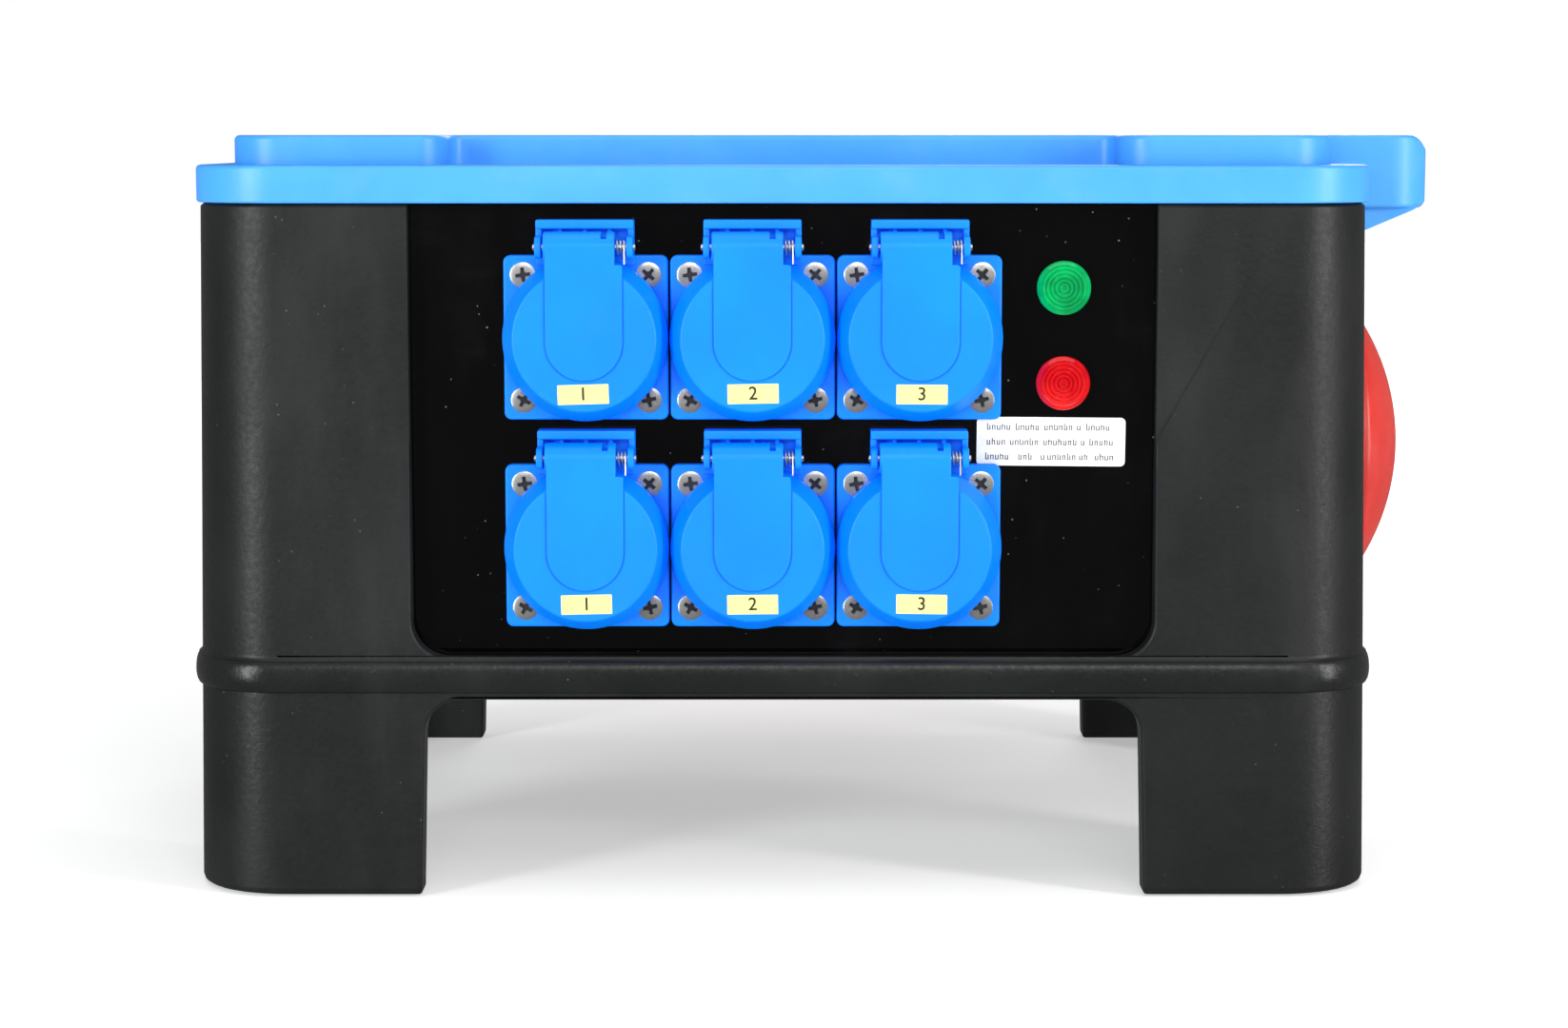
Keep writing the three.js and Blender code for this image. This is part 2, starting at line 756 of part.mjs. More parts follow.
function outletInsert() {
  const bottom = shroudFloor - outletDepth + gap;
  const top = outletTop - insertDrop;
  const sleeves = poles.map((pole) =>
    rodZ(poleRadius(pole, sleeveRadius), [top - sleeveDepth, top + overcut], poleX(pole), poleY(pole), 10),
  );
  return cut(rodZ(insertRadius, [bottom, top], 0, 0, roundSides), ...sleeves);
}

function outletCover() {
  const skirtBottom = outletTop - 4.5;
  const skirtTop = skirtBottom + outletSkirt;
  const thickness = outletCoverThickness;
  const sphere = (outletCoverRadius ** 2 + outletCoverCrown ** 2) / (2 * outletCoverCrown);
  const crown = (radius, inset) => {
    const centre = skirtTop + outletCoverCrown - sphere;
    return centre + Math.sqrt((sphere - inset) ** 2 - radius ** 2);
  };
  const outside = [1, 0.85, 0.68, 0.46, 0.22].map((share) => outletCoverRadius * share);
  const inside = [0.22, 0.5, 0.75, 0.94].map((share) => outletCoverRadius * share);
  const dome = turned([
    [0, crown(0, thickness)],
    ...inside.map((radius) => [radius, crown(radius, thickness)]),
    [outletCoverRadius - thickness, skirtBottom],
    [outletCoverRadius, skirtBottom],
    ...outside.map((radius) => [radius, crown(radius, 0)]),
    [0, crown(0, 0)],
  ]);
  const barrel = [-poleEarHalf + poleEarThickness + gap, 8];
  const arm = block(barrel, [outletCoverRadius - 9, outletPin.y], [outletPin.z, outletPin.z + 4]);
  return cut(
    join(dome, arm, rodX(4.4, barrel, outletPin.y, outletPin.z, 10)),
    rodX(polePinRadius + pinPlay, [-poleFlange, poleFlange], outletPin.y, outletPin.z, 8),
  );
}

function poleOutlet() {
  return onFace('right', poleSpot, [
    piece('outlet_housing', 'red', outletHousing()),
    piece('outlet_insert', 'insert', outletInsert()),
    piece('outlet_cover', 'red', outletCover()),
    piece('outlet_pin', 'steel', rodX(polePinRadius, [-19, 19], outletPin.y, outletPin.z, 10)),
    piece('outlet_spring', 'steel', torsionSpring(outletPin, polePinRadius, [8.5, 13.5], 2.6, 0.5)),
  ]);
}

// ---- Five-pole inlet on the rear ----
const inletOuter = inletBore + inletWall;
const capInner = inletOuter + 0.6;
const capOuter = capInner + capWall;
const capBottom = inletLength - capOverlap;
const capFace = inletLength + 0.5 + capWall;
const inletPin = { y: capOuter + 4.6, z: capBottom + 1.5 };
const lugHalf = 13;
const lugThickness = 4;
const capBarrel = [gap + lugThickness - lugHalf, 4];

function inletHousing() {
  const lugs = signs.map((side) => {
    const profile = outline([
      [inletBore + overcut, capBottom - 14],
      [inletPin.y + 4, capBottom - 6],
      [inletPin.y + 4, inletPin.z + 4, 3.5],
      [inletPin.y - 4, inletPin.z + 4, 3.5],
      [inletPin.y - 4, capBottom - 2],
      [inletBore + overcut, capBottom - 2],
    ]);
    const span = [side * lugHalf, side * (lugHalf - lugThickness)].sort((a, b) => a - b);
    return alongX(profile, ...span);
  });
  const body = join(
    poleFlangePlate(inletOuter - overcut),
    rodZ(inletOuter, [-inletDepth, inletLength], 0, 0, roundSides),
    ...lugs,
  );
  return cut(
    body,
    rodZ(inletBore, [shroudFloor - inletDepth, inletLength + overcut], 0, 0, roundSides),
    rodX(polePinRadius + pinPlay, [-poleFlange, poleFlange], inletPin.y, inletPin.z, 8),
  );
}

function inletInsert() {
  const bottom = shroudFloor - inletDepth + gap;
  const base = rodZ(inletBore - gap * 2, [bottom, bottom + 8], 0, 0, roundSides);
  const pins = poles.map((pole) =>
    rodZ(poleRadius(pole, pinContactRadius), [bottom + 4, inletLength - 7], poleX(pole), poleY(pole), 10),
  );
  return join(base, ...pins);
}

function inletCap() {
  const shell = turned([
    [0, capFace - capWall],
    [capInner, capFace - capWall],
    [capInner, capBottom],
    [capOuter, capBottom],
    [capOuter, capFace - 1.5],
    [capOuter - 1.5, capFace],
    [0, capFace],
  ]);
  const arm = block(capBarrel, [capOuter - overcut, inletPin.y], [inletPin.z - 2, inletPin.z + 2]);
  return cut(
    join(shell, arm, rodX(3.6, capBarrel, inletPin.y, inletPin.z, 10)),
    rodX(polePinRadius + pinPlay, [-poleFlange, poleFlange], inletPin.y, inletPin.z, 8),
  );
}

function poleInlet() {
  return onFace('rear', poleSpot, [
    piece('inlet_housing', 'red', inletHousing()),
    piece('inlet_insert', 'insert', inletInsert()),
    piece('inlet_cap', 'red', inletCap()),
    piece('inlet_pin', 'steel', rodX(polePinRadius, [-14, 14], inletPin.y, inletPin.z, 10)),
    piece('inlet_spring', 'steel', torsionSpring(inletPin, polePinRadius, [4.5, 8.5], 4, 0.5)),
  ]);
}

// ---- Breaker window and the devices behind it, on the left end ----
const doorPin = { y: windowHalfY - 3, z: 2.3 };
const doorBarrelRadius = 1.9;
const noseFace = -8;
const shoulderFace = -22;
const deviceBack = -67;
const railFace = -64;
const toggleAxisZ = noseFace - toggleRadius;
const slotFloor = toggleAxisZ - toggleRadius - 0.5;
const slotHalfY = toggleRadius + 1.7;
const armHalfY = 15;
const armEnd = -72;

function windowFrame() {
  const neckX = windowHalfX + neckWall;
  const neckY = windowHalfY + neckWall;
  const opening = [noseFace - overcut, frameThickness + overcut];
  const flange = outline(rectangle(windowHalfX + windowBorderX, windowHalfY + windowBorderY, 8), 3);
  const frame = cut(
    join(
      slab(flange, gap, gap + frameThickness),
      block([-neckX, neckX], [-neckY, neckY], [noseFace, gap + overcut]),
    ),
    block([-windowHalfX, windowHalfX], [-windowHalfY, windowHalfY], opening),
  );
  const arms = signs.map((side) => {
    const span = [side * windowHalfX, side * neckX].sort((a, b) => a - b);
    return block(span, [-armHalfY, armHalfY], [armEnd, noseFace + overcut]);
  });
  const pinHalf = windowHalfX + windowBorderX / 2;
  const bore = rodX(doorPinRadius + pinPlay, [-pinHalf, pinHalf], doorPin.y, doorPin.z, 8);
  return cut(join(frame, ...arms), bore);
}

function windowDoor() {
  const half = windowHalfX - 1;
  const barrelHalf = windowHalfX - 0.7;
  const middle = doorPin.z;
  const plate = slab(
    outline([
      [-half, 1 - windowHalfY, 3],
      [half, 1 - windowHalfY, 3],
      [half, doorPin.y],
      [-half, doorPin.y],
    ]),
    middle - doorThickness / 2,
    middle + doorThickness / 2,
  );
  const pull = block([-12, 12], [1.5 - windowHalfY, 4.5 - windowHalfY], [middle, middle + 2.6]);
  return cut(
    join(plate, pull, rodX(doorBarrelRadius, [-barrelHalf, barrelHalf], doorPin.y, middle, 10)),
    rodX(doorPinRadius + pinPlay, [-bodyDepth, bodyDepth], doorPin.y, middle, 8),
  );
}

// Top-hat mounting rail between the two arms of the window frame.
function dinRail() {
  const lip = 17.5;
  const web = 12.5;
  const front = railFace - gap;
  const back = front - 7.5;
  const profile = outline([
    [-lip, front],
    [-lip, front - 1],
    [-web, front - 1],
    [-web, back],
    [web, back],
    [web, front - 1],
    [lip, front - 1],
    [lip, front],
    [web - 1, front],
    [web - 1, back + 1],
    [1 - web, back + 1],
    [1 - web, front],
  ]);
  return alongX(profile, gap - windowHalfX, windowHalfX - gap);
}

// A rail-mounted device of some modules' width: shoulders, a nose, and a recess for the rail.
function deviceBody(modules, slots) {
  const half = (modules * moduleWidth) / 2 - 0.2;
  const profile = outline([
    [-41, deviceBack],
    [-17.9, deviceBack],
    [-17.9, railFace],
    [17.9, railFace],
    [17.9, deviceBack],
    [41, deviceBack],
    [41, shoulderFace, 2],
    [22.5, shoulderFace],
    [22.5, noseFace, 2],
    [-22.5, noseFace, 2],
    [-22.5, shoulderFace],
    [-41, shoulderFace, 2],
  ], 2);
  const tools = slots.map(([x, width]) =>
    block([x - width / 2, x + width / 2], [-slotHalfY, slotHalfY], [slotFloor, noseFace + overcut]),
  );
  return cut(alongX(profile, -half, half), ...tools);
}

// A toggle that points up at rest and turns about its hub to point down.
const toggleTilt = THREE.MathUtils.degToRad(35);

function toggle(x, width) {
  const lever = block([-width / 2, width / 2], [-1.7, 1.7], [0, 11]).rotateX(-toggleTilt);
  const hub = rodX(toggleRadius, [-width / 2, width / 2], 0, 0, 16);
  return join(hub, lever).translate(x, 0, toggleAxisZ);
}

const deviceStart = -((rcdModules + breakerCount) * moduleWidth) / 2;
const rcdX = deviceStart + (rcdModules * moduleWidth) / 2;
const breakerX = (index) => deviceStart + (rcdModules + index + 0.5) * moduleWidth;
const rcdToggleX = 20;
const rcdToggleWidth = 12;
const toggleWidth = 8;
const buttonX = -20;
const buttonY = 8;

function rcdBody() {
  const bore = rodZ(buttonRadius + 0.4, [noseFace - 7.2, noseFace + overcut], buttonX, buttonY, 12);
  return cut(deviceBody(rcdModules, [[rcdToggleX, rcdToggleWidth + 0.8]]), bore).translate(rcdX, 0, 0);
}

function rcdPieces() {
  const button = rodZ(buttonRadius, [noseFace - 5, noseFace + 2], rcdX + buttonX, buttonY, 12);
  return [
    piece('rcd_body', 'device', rcdBody()),
    piece('rcd_toggle', 'toggle', toggle(rcdX + rcdToggleX, rcdToggleWidth)),
    piece('rcd_test_button', 'toggle', button),
  ];
}

function breakerPieces(index) {
  const body = deviceBody(1, [[0, toggleWidth + 0.8]]).translate(breakerX(index), 0, 0);
  return [
    piece(`breaker_${index + 1}_body`, 'device', body),
    piece(`breaker_${index + 1}_toggle`, 'toggle', toggle(breakerX(index), toggleWidth)),
  ];
}

function breakerWindow() {
  const pinHalf = windowHalfX + windowBorderX / 2 - gap;
  return onFace('left', windowSpot, [
    piece('window_frame', 'insert', windowFrame()),
    piece('window_door', 'clear', windowDoor()),
    piece('window_door_pin', 'steel', rodX(doorPinRadius, [-pinHalf, pinHalf], doorPin.y, doorPin.z, 8)),
    piece('mounting_rail', 'steel', dinRail()),
    ...rcdPieces(),
    ...[...Array(breakerCount).keys()].flatMap(breakerPieces),
  ]);
}

// ---- Indicator lamps ----
const lampBarrel = 6;

function lampLens() {
  return turned([
    [0, 0.2 - panelThickness],
    [lampBarrel - 0.8, 0.2 - panelThickness],
    [lampBarrel - 0.8, gap],
    [lensRadius, gap],
    [lensRadius, gap + 0.5 * lensHeight],
    [0.75 * lensRadius, gap + 0.88 * lensHeight],
    [0, gap + lensHeight],
  ], 16);
}

function lampBody() {
  const back = -panelThickness - gap;
  return join(rodZ(8.5, [back - 4, back], 0, 0, 6), rodZ(7, [back - 24, back - 3], 0, 0, 16));
}

const lamps = () =>
  [['green', 'green'], ['red', 'lampRed']].map(([colour, finish], index) =>
    onFace('front', lampSpots[index], [
      piece(`lamp_${colour}_lens`, finish, lampLens()),
      piece(`lamp_${colour}_body`, 'insert', lampBody()),
    ]),
  );

// ---- Pieces on the floor inside ----
const terminalHalf = [38, 15];
const terminalHeight = 26;

function terminalBlock() {
  const [x, y] = terminalHalf;
  const base = floorTop + gap;
  const top = base + terminalHeight;
  const profile = outline([
    [-y, base],
    [y, base],
    [y, top - 8],
    [y - 8, top],
    [8 - y, top],
    [-y, top - 8],
  ]);
  const tools = poles.flatMap((pole) => {
    const place = (pole - (poleCount - 1) / 2) * 14;
    return [
      rodZ(2.6, [top - 12, top + overcut], place, 0, 8),
      block([place - 3.5, place + 3.5], [-y - overcut, y + overcut], [base + 4, base + 11]),
    ];
  });
  return cut(alongX(profile, -x, x), ...tools);
}

function phaseRelay() {
  const base = floorTop + gap;
  const shape = outline([
    [-18, base],
    [18, base],
    [18, base + 40, 3],
    [8, base + 40],
    [8, base + 48, 2],
    [-8, base + 48, 2],
    [-8, base + 40],
    [-18, base + 40, 3],
  ], 2);
  const screwX = 6;
  const tools = signs.map((side) =>
    rodZ(2.2, [base + 32, base + 40 + overcut], screwX, side * 13, 8),
  );
  return cut(alongX(shape, -11, 11), ...tools).translate(lampX, -terminalHalf[1], 0);
}

// ---- Assembly ----
function panels() {
  const socketHole = collarRadius + 0.7;
  const sockets = socketSpots.map(([x, z]) => [x, z, socketHole, socketHole]);
  const lampHoles = lampSpots.map(([x, z]) => [x, z, lampBarrel]);
  const outletHole = [...poleSpot, outletOuter + 0.5, outletOuter + 0.5];
  const inletHole = [...poleSpot, inletOuter + 0.5, inletOuter + 0.5];
  const windowHole = [...windowSpot, windowHalfX + neckWall + 0.5, windowHalfY + neckWall + 0.5];
  return [
    onFace('front', [0, 0], [piece('front_panel', 'panel', panel(panelHalfX, sockets, lampHoles))]),
    onFace('right', [0, 0], [piece('right_panel', 'panel', panel(panelHalfY, [outletHole]))]),
    onFace('rear', [0, 0], [piece('rear_panel', 'panel', panel(panelHalfX, [inletHole]))]),
    onFace('left', [0, 0], [piece('left_panel', 'panel', panel(panelHalfY, [windowHole]))]),
  ];
}

const box = new THREE.Group();
box.add(
  piece('body_shell', 'shell', bodyShell()),
  piece('lid', 'lid', lid()),
  piece('lid_gasket', 'rubber', gasketRing(lidBottom, lidBottom + gasketHeight, 0)),
  ...panels(),
  ...socketSpots.map((spot, index) => socketOutlet(index + 1, spot)),
  poleOutlet(),
  poleInlet(),
  breakerWindow(),
  ...lamps(),
  piece('terminal_block', 'device', terminalBlock()),
  piece('phase_relay', 'device', phaseRelay()),
);

// The origin is on the floor, midway between the outermost points left and right, front and rear.
const extent = new THREE.Box3().setFromObject(box);
const middle = extent.getCenter(new THREE.Vector3());
box.position.set(-middle.x, -middle.y, -extent.min.z);

const distributionBox = new THREE.Group();
distributionBox.name = 'portable_power_distribution_box';
distributionBox.add(box);

export default distributionBox;
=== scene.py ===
# %% [markdown]
# # Portable power distribution box
# The box is a dark moulded body on four legs under a blue lid, with glossy black panels that carry socket
# outlets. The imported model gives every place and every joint; this script builds the fine surface of each
# piece around it. We load the frame first, because every later cell asks it where things are.

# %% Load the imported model
import json
import math

import bmesh
import bpy
from mathutils import Matrix, Vector

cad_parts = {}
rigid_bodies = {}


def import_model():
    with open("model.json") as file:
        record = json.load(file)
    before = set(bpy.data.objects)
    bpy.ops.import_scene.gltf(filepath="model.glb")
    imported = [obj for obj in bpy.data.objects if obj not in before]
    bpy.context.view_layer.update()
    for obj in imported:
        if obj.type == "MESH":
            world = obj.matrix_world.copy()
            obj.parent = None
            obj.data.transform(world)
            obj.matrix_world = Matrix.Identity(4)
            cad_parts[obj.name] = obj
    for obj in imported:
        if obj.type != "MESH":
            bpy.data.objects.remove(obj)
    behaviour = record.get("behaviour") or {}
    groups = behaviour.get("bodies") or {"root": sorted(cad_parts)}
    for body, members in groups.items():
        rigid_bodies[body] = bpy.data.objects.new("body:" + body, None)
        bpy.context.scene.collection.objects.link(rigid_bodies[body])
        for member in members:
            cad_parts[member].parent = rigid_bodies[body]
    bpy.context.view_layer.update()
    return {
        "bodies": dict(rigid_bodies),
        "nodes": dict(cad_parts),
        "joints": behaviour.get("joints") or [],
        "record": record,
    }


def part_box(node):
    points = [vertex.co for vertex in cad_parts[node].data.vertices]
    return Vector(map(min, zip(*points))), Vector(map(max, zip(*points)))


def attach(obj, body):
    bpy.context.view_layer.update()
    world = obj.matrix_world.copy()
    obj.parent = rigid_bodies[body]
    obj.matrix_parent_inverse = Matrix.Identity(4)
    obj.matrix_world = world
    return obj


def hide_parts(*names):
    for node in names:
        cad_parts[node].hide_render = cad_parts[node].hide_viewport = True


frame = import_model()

# %% [markdown]
# ## Places
# A moulded box is drawn about its own middle, and each fitting about the middle of its flange. So we make one
# matrix for the body and one for each fitting, in millimetres, and read their places from the frame's boxes.
# On a face, X runs right, Y up and Z out of the panel's glossy front.

# %% Matrices from the frame's boxes
MM = 0.001


def middle(node):
    low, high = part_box(node)
    return (low + high) / 2


def size_mm(node):
    low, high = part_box(node)
    return (high - low) / MM


body_middle = middle("body_shell")
body_place = Matrix.Translation((body_middle.x, body_middle.y, 0)) @ Matrix.Scale(MM, 4)
FACES = {
    "front": (0, "front_panel", 1, 0),
    "right": (90, "right_panel", 0, 1),
    "rear": (180, "rear_panel", 1, 1),
    "left": (-90, "left_panel", 0, 0),
}


def face_place(face, x, height):
    """The matrix from a face's own millimetres, with its origin at x and height, to the row frame."""
    turn, panel, axis, side = FACES[face]
    out = abs(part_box(panel)[side][axis] - body_middle[axis])
    upright = Matrix.Rotation(math.radians(90), 4, "X")
    turned = Matrix.Rotation(math.radians(turn), 4, "Z")
    spot = Matrix.Translation((x * MM, height * MM, out))
    home = Matrix.Translation((body_middle.x, body_middle.y, 0))
    return home @ turned @ upright @ spot @ Matrix.Scale(MM, 4)


print("body middle:", [round(value, 4) for value in body_middle])

# %% [markdown]
# ## Modelling helpers
# Nearly every part of a moulded product starts as a flat outline with rounded corners that is pushed out to a
# thickness, or as half a section that is turned round an axis. Rounding the corners with a vertex bevel keeps
# every arc true, and the operators make all the faces.

# %% Moving and turning
def shift(bm, x=0.0, y=0.0, z=0.0):
    bmesh.ops.translate(bm, vec=(x, y, z), verts=bm.verts)
    return bm


def rotate(bm, degrees, axis):
    turn = Matrix.Rotation(math.radians(degrees), 3, axis)
    bmesh.ops.rotate(bm, cent=(0, 0, 0), matrix=turn, verts=bm.verts)
    return bm


def only(kind, items):
    """The items of one kind, such as the vertices, in what an operator returned."""
    return [item for item in items if isinstance(item, kind)]


# %% Outlines, slabs, turned shapes and rods
def round_corners(bm, verts, radius, steps):
    bmesh.ops.bevel(bm, geom=verts, offset=radius, offset_type="OFFSET", segments=steps, profile=0.5,
                    affect="VERTICES", material=-1)


def outline(corners, steps=8):
    """A flat face through [x, y, radius] corners, in a new bmesh."""
    bm = bmesh.new()
    verts = [bm.verts.new((x, y, 0)) for x, y, _ in corners]
    bm.faces.new(verts)
    for radius in sorted({corner[2] for corner in corners if corner[2] > 0}):
        picked = [vert for vert, corner in zip(verts, corners) if corner[2] == radius]
        round_corners(bm, picked, radius, steps)
    return bm


def rectangle(x, y, radius=0):
    return [(-x, -y, radius), (x, -y, radius), (x, y, radius), (-x, y, radius)]


def push_out(bm, low, high):
    """Gives a flat outline its thickness, from one height to another."""
    shift(bm, z=low)
    pushed = bmesh.ops.extrude_face_region(bm, geom=bm.faces[:])["geom"]
    bmesh.ops.translate(bm, vec=(0, 0, high - low), verts=only(bmesh.types.BMVert, pushed))
    bmesh.ops.recalc_face_normals(bm, faces=bm.faces)
    return bm


def soften(bm, radius, steps=3, where=lambda edge: True, sharper_than=40):
    """Rounds the edges that are sharper than an angle and that a test picks."""
    limit = math.radians(sharper_than)
    sharp = [edge for edge in bm.edges if edge.is_manifold and edge.calc_face_angle(0) > limit and where(edge)]
    bmesh.ops.bevel(bm, geom=sharp, offset=radius, offset_type="OFFSET", segments=steps, profile=0.5,
                    affect="EDGES", material=-1, clamp_overlap=False)
    return bm


def slab(corners, low, high, steps=8, soft=0.0, where=lambda edge: True):
    bm = push_out(outline(corners, steps), low, high)
    return soften(bm, soft, where=where) if soft else bm


def along_y(bm, low, high):
    """Pushes an outline drawn in X and Z along Y."""
    return rotate(push_out(bm, -high, -low), 90, "X")


def along_x(bm, low, high):
    """Pushes an outline drawn in Y and Z along X."""
    push_out(bm, low, high)
    turn = Matrix.Rotation(math.radians(90), 3, "Z") @ Matrix.Rotation(math.radians(90), 3, "X")
    bmesh.ops.rotate(bm, cent=(0, 0, 0), matrix=turn, verts=bm.verts)
    return bm


def turned(profile, steps=64):
    """A solid turned about Z from [radius, height] points. Points on the axis close it; others end a ring."""
    bm = bmesh.new()
    verts = [bm.verts.new((radius, 0, height)) for radius, height in profile]
    edges = [bm.edges.new(pair) for pair in zip(verts, verts[1:])]
    if profile[0][0] > 0 and profile[-1][0] > 0:
        edges.append(bm.edges.new((verts[-1], verts[0])))
    bmesh.ops.spin(bm, geom=verts + edges, cent=(0, 0, 0), axis=(0, 0, 1), angle=2 * math.pi, steps=steps,
                   use_merge=True)
    bmesh.ops.remove_doubles(bm, verts=bm.verts, dist=1e-4)
    bmesh.ops.recalc_face_normals(bm, faces=bm.faces)
    return bm


def arc(centre, radius, start, end, steps=6):
    """Points of an arc in a section, from one angle to another in degrees."""
    points = []
    for step in range(steps + 1):
        angle = math.radians(start + (end - start) * step / steps)
        points.append((centre[0] + radius * math.cos(angle), centre[1] + radius * math.sin(angle)))
    return points


def rod_z(radius, low, high, x=0.0, y=0.0, steps=32, soft=0.0):
    bm = bmesh.new()
    bmesh.ops.create_cone(bm, cap_ends=True, segments=steps, radius1=radius, radius2=radius, depth=high - low)
    shift(bm, x, y, (low + high) / 2)
    return soften(bm, soft, steps=2, sharper_than=60) if soft else bm


def rod_x(radius, low, high, y=0.0, z=0.0, steps=32, soft=0.0):
    return shift(rotate(rod_z(radius, low, high, steps=steps, soft=soft), 90, "Y"), 0, y, z)


def box(x, y, z, soft=0.0):
    bm = bmesh.new()
    bmesh.ops.create_cube(bm, size=1)
    bmesh.ops.scale(bm, vec=(x[1] - x[0], y[1] - y[0], z[1] - z[0]), verts=bm.verts)
    shift(bm, (x[0] + x[1]) / 2, (y[0] + y[1]) / 2, (z[0] + z[1]) / 2)
    return soften(bm, soft, steps=2) if soft else bm


# %% [markdown]
# A moulding is one body, so its ribs, ears and holes are joined and cut, not left lying through each other.
# The Boolean modifier does that on plain meshes; each step's result is taken at once, so nothing stays live.

# %% Joining and cutting
def new_object(name, data):
    thing = bpy.data.objects.new(name, data)
    bpy.context.scene.collection.objects.link(thing)
    return thing


def to_object(bm, name="work"):
    mesh = bpy.data.meshes.new(name)
    bm.to_mesh(mesh)
    bm.free()
    return new_object(name, mesh)


def combine(base, tools, operation):
    """Joins or cuts a bmesh with others and returns the result as a new bmesh."""
    body = to_object(base)
    helpers = [to_object(tool) for tool in tools]
    for helper in helpers:
        step = body.modifiers.new("step", "BOOLEAN")
        step.operation = operation
        step.solver = "EXACT"
        step.object = helper
    graph = bpy.context.evaluated_depsgraph_get()
    result = bmesh.new()
    result.from_mesh(body.evaluated_get(graph).data)
    for thing in [body, *helpers]:
        mesh = thing.data
        bpy.data.objects.remove(thing)
        bpy.data.meshes.remove(mesh)
    bmesh.ops.remove_doubles(result, verts=result.verts, dist=2e-3)
    bmesh.ops.dissolve_degenerate(result, edges=result.edges, dist=1e-4)
    return result


def join(base, *tools):
    return combine(base, tools, "UNION")


def cut(base, *tools):
    return combine(base, tools, "DIFFERENCE")


def trim(base, *tools):
    return combine(base, tools, "INTERSECT")


# %% [markdown]
# A finished piece has smooth faces with crisp edges where two faces meet at more than a set angle. It is
# placed by moving its vertices, so the object itself sits at the origin, as the CAD nodes do. Copies of a
# piece share one design and are placed one by one.

# %% Finishing a piece
pieces = {}


def finish(bm, name, place, look, body="enclosure", replaced=None):
    """Places a design as a piece. One named after a CAD node, with _fine added, takes that node's place."""
    bm.normal_update()
    limit = math.radians(28 if name.endswith("screws") else 35)
    for face in bm.faces:
        face.smooth = True
    for edge in bm.edges:
        edge.smooth = not (edge.is_manifold and edge.calc_face_angle(0) > limit)
    open_edges = sum(not edge.is_manifold for edge in bm.edges)
    piece = to_object(bm, name)
    piece.data.transform(place)
    piece.data.materials.append(finishes[look])
    piece.modifiers.new("even_faces", "WEIGHTED_NORMAL").keep_sharp = True
    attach(piece, body)
    if name.endswith("_fine"):
        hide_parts(replaced or name.removesuffix("_fine"))
    pieces[name] = piece
    if open_edges:
        print(name, "has", open_edges, "open edges")


def copies(bm, count):
    """Several bmeshes of the same shape, so that each can be placed and finished by itself."""
    made = [bm.copy() for _ in range(count)]
    bm.free()
    return made

# %% [markdown]
# ## Shader arithmetic
# A material is a sum of small effects: a base colour, a slow mottle, fine specks, dust that gathers in a
# haze. Written as nodes one by one that is long and hard to read, so a small class wraps a socket and lets us
# write the sums as ordinary Python.

# %% A value in a node tree
class Wire:
    """A value in a material's node tree. Arithmetic on it adds Math nodes."""

    def __init__(self, tree, socket=None):
        self.tree = tree
        self.socket = socket

    def node(self, kind, settings=None, sockets=None, output=0):
        """Any node, from its type, its settings and the values or links of its sockets."""
        made = self.tree.nodes.new(kind)
        for key, value in (settings or {}).items():
            if key == "stops":
                for stop, (place, colour) in zip(made.color_ramp.elements, value):
                    stop.position = place
                    stop.color = colour
            else:
                setattr(made, key, value)
        for key, value in (sockets or {}).items():
            self.feed(made.inputs[key], value)
        return Wire(self.tree, made.outputs[output])

    def feed(self, socket, value):
        if isinstance(value, Wire):
            self.tree.links.new(value.socket, socket)
        else:
            socket.default_value = value

    def maths(self, operation, first, second=0.0):
        return self.node("ShaderNodeMath", {"operation": operation}, {0: first, 1: second})

    def __add__(self, other):
        return self.maths("ADD", self, other)

    def __sub__(self, other):
        return self.maths("SUBTRACT", self, other)

    def __rsub__(self, other):
        return self.maths("SUBTRACT", other, self)

    def __mul__(self, other):
        return self.maths("MULTIPLY", self, other)

    __radd__ = __add__
    __rmul__ = __mul__

    def between(self, low, high, floor=0.0, ceiling=1.0):
        """This value stretched from one range to another and held inside it."""
        sockets = {0: self, 1: low, 2: high, 3: floor, 4: ceiling}
        return self.node("ShaderNodeMapRange", {"interpolation_type": "SMOOTHSTEP"}, sockets)

    def blend(self, first, second):
        """The mix of two colours, with this value as the factor."""
        sockets = {0: self, 6: rgba(first), 7: rgba(second)}
        return self.node("ShaderNodeMix", {"data_type": "RGBA"}, sockets, output=2)


class Paint(Wire):
    """A material with a Principled shader, and the patterns that the finishes below share."""

    def __init__(self, name, **constants):
        self.material = bpy.data.materials.new(name)
        self.material.use_nodes = True
        super().__init__(self.material.node_tree)
        self.shader = self.tree.nodes["Principled BSDF"]
        self.place = self.node("ShaderNodeTexCoord", output=3)
        for key, value in constants.items():
            self.shader.inputs[key.replace("_", " ")].default_value = value

    def noise(self, scale, detail=3.0, rough=0.55, stretch=(1, 1, 1)):
        where = self.place
        if stretch != (1, 1, 1):
            where = self.node("ShaderNodeMapping", {}, {0: self.place, 3: stretch})
        sockets = {"Vector": where, "Scale": scale, "Detail": detail, "Roughness": rough}
        return self.node("ShaderNodeTexNoise", {}, sockets)

    def specks(self, scale, size):
        """Scattered round dots, 1 inside a dot."""
        cells = self.node("ShaderNodeTexVoronoi", {}, {"Vector": self.place, "Scale": scale})
        return 1 - cells.between(size * 0.5, size)

    def axis(self, name):
        """One coordinate of the row frame, in metres."""
        return self.node("ShaderNodeSeparateXYZ", {}, {0: self.place}, output="XYZ".index(name))

    def set(self, socket, value):
        self.feed(self.shader.inputs[socket], value)
        return self

    def bump(self, height, strength, distance):
        sockets = {"Strength": strength, "Distance": distance, "Height": height}
        return self.set("Normal", self.node("ShaderNodeBump", {}, sockets))


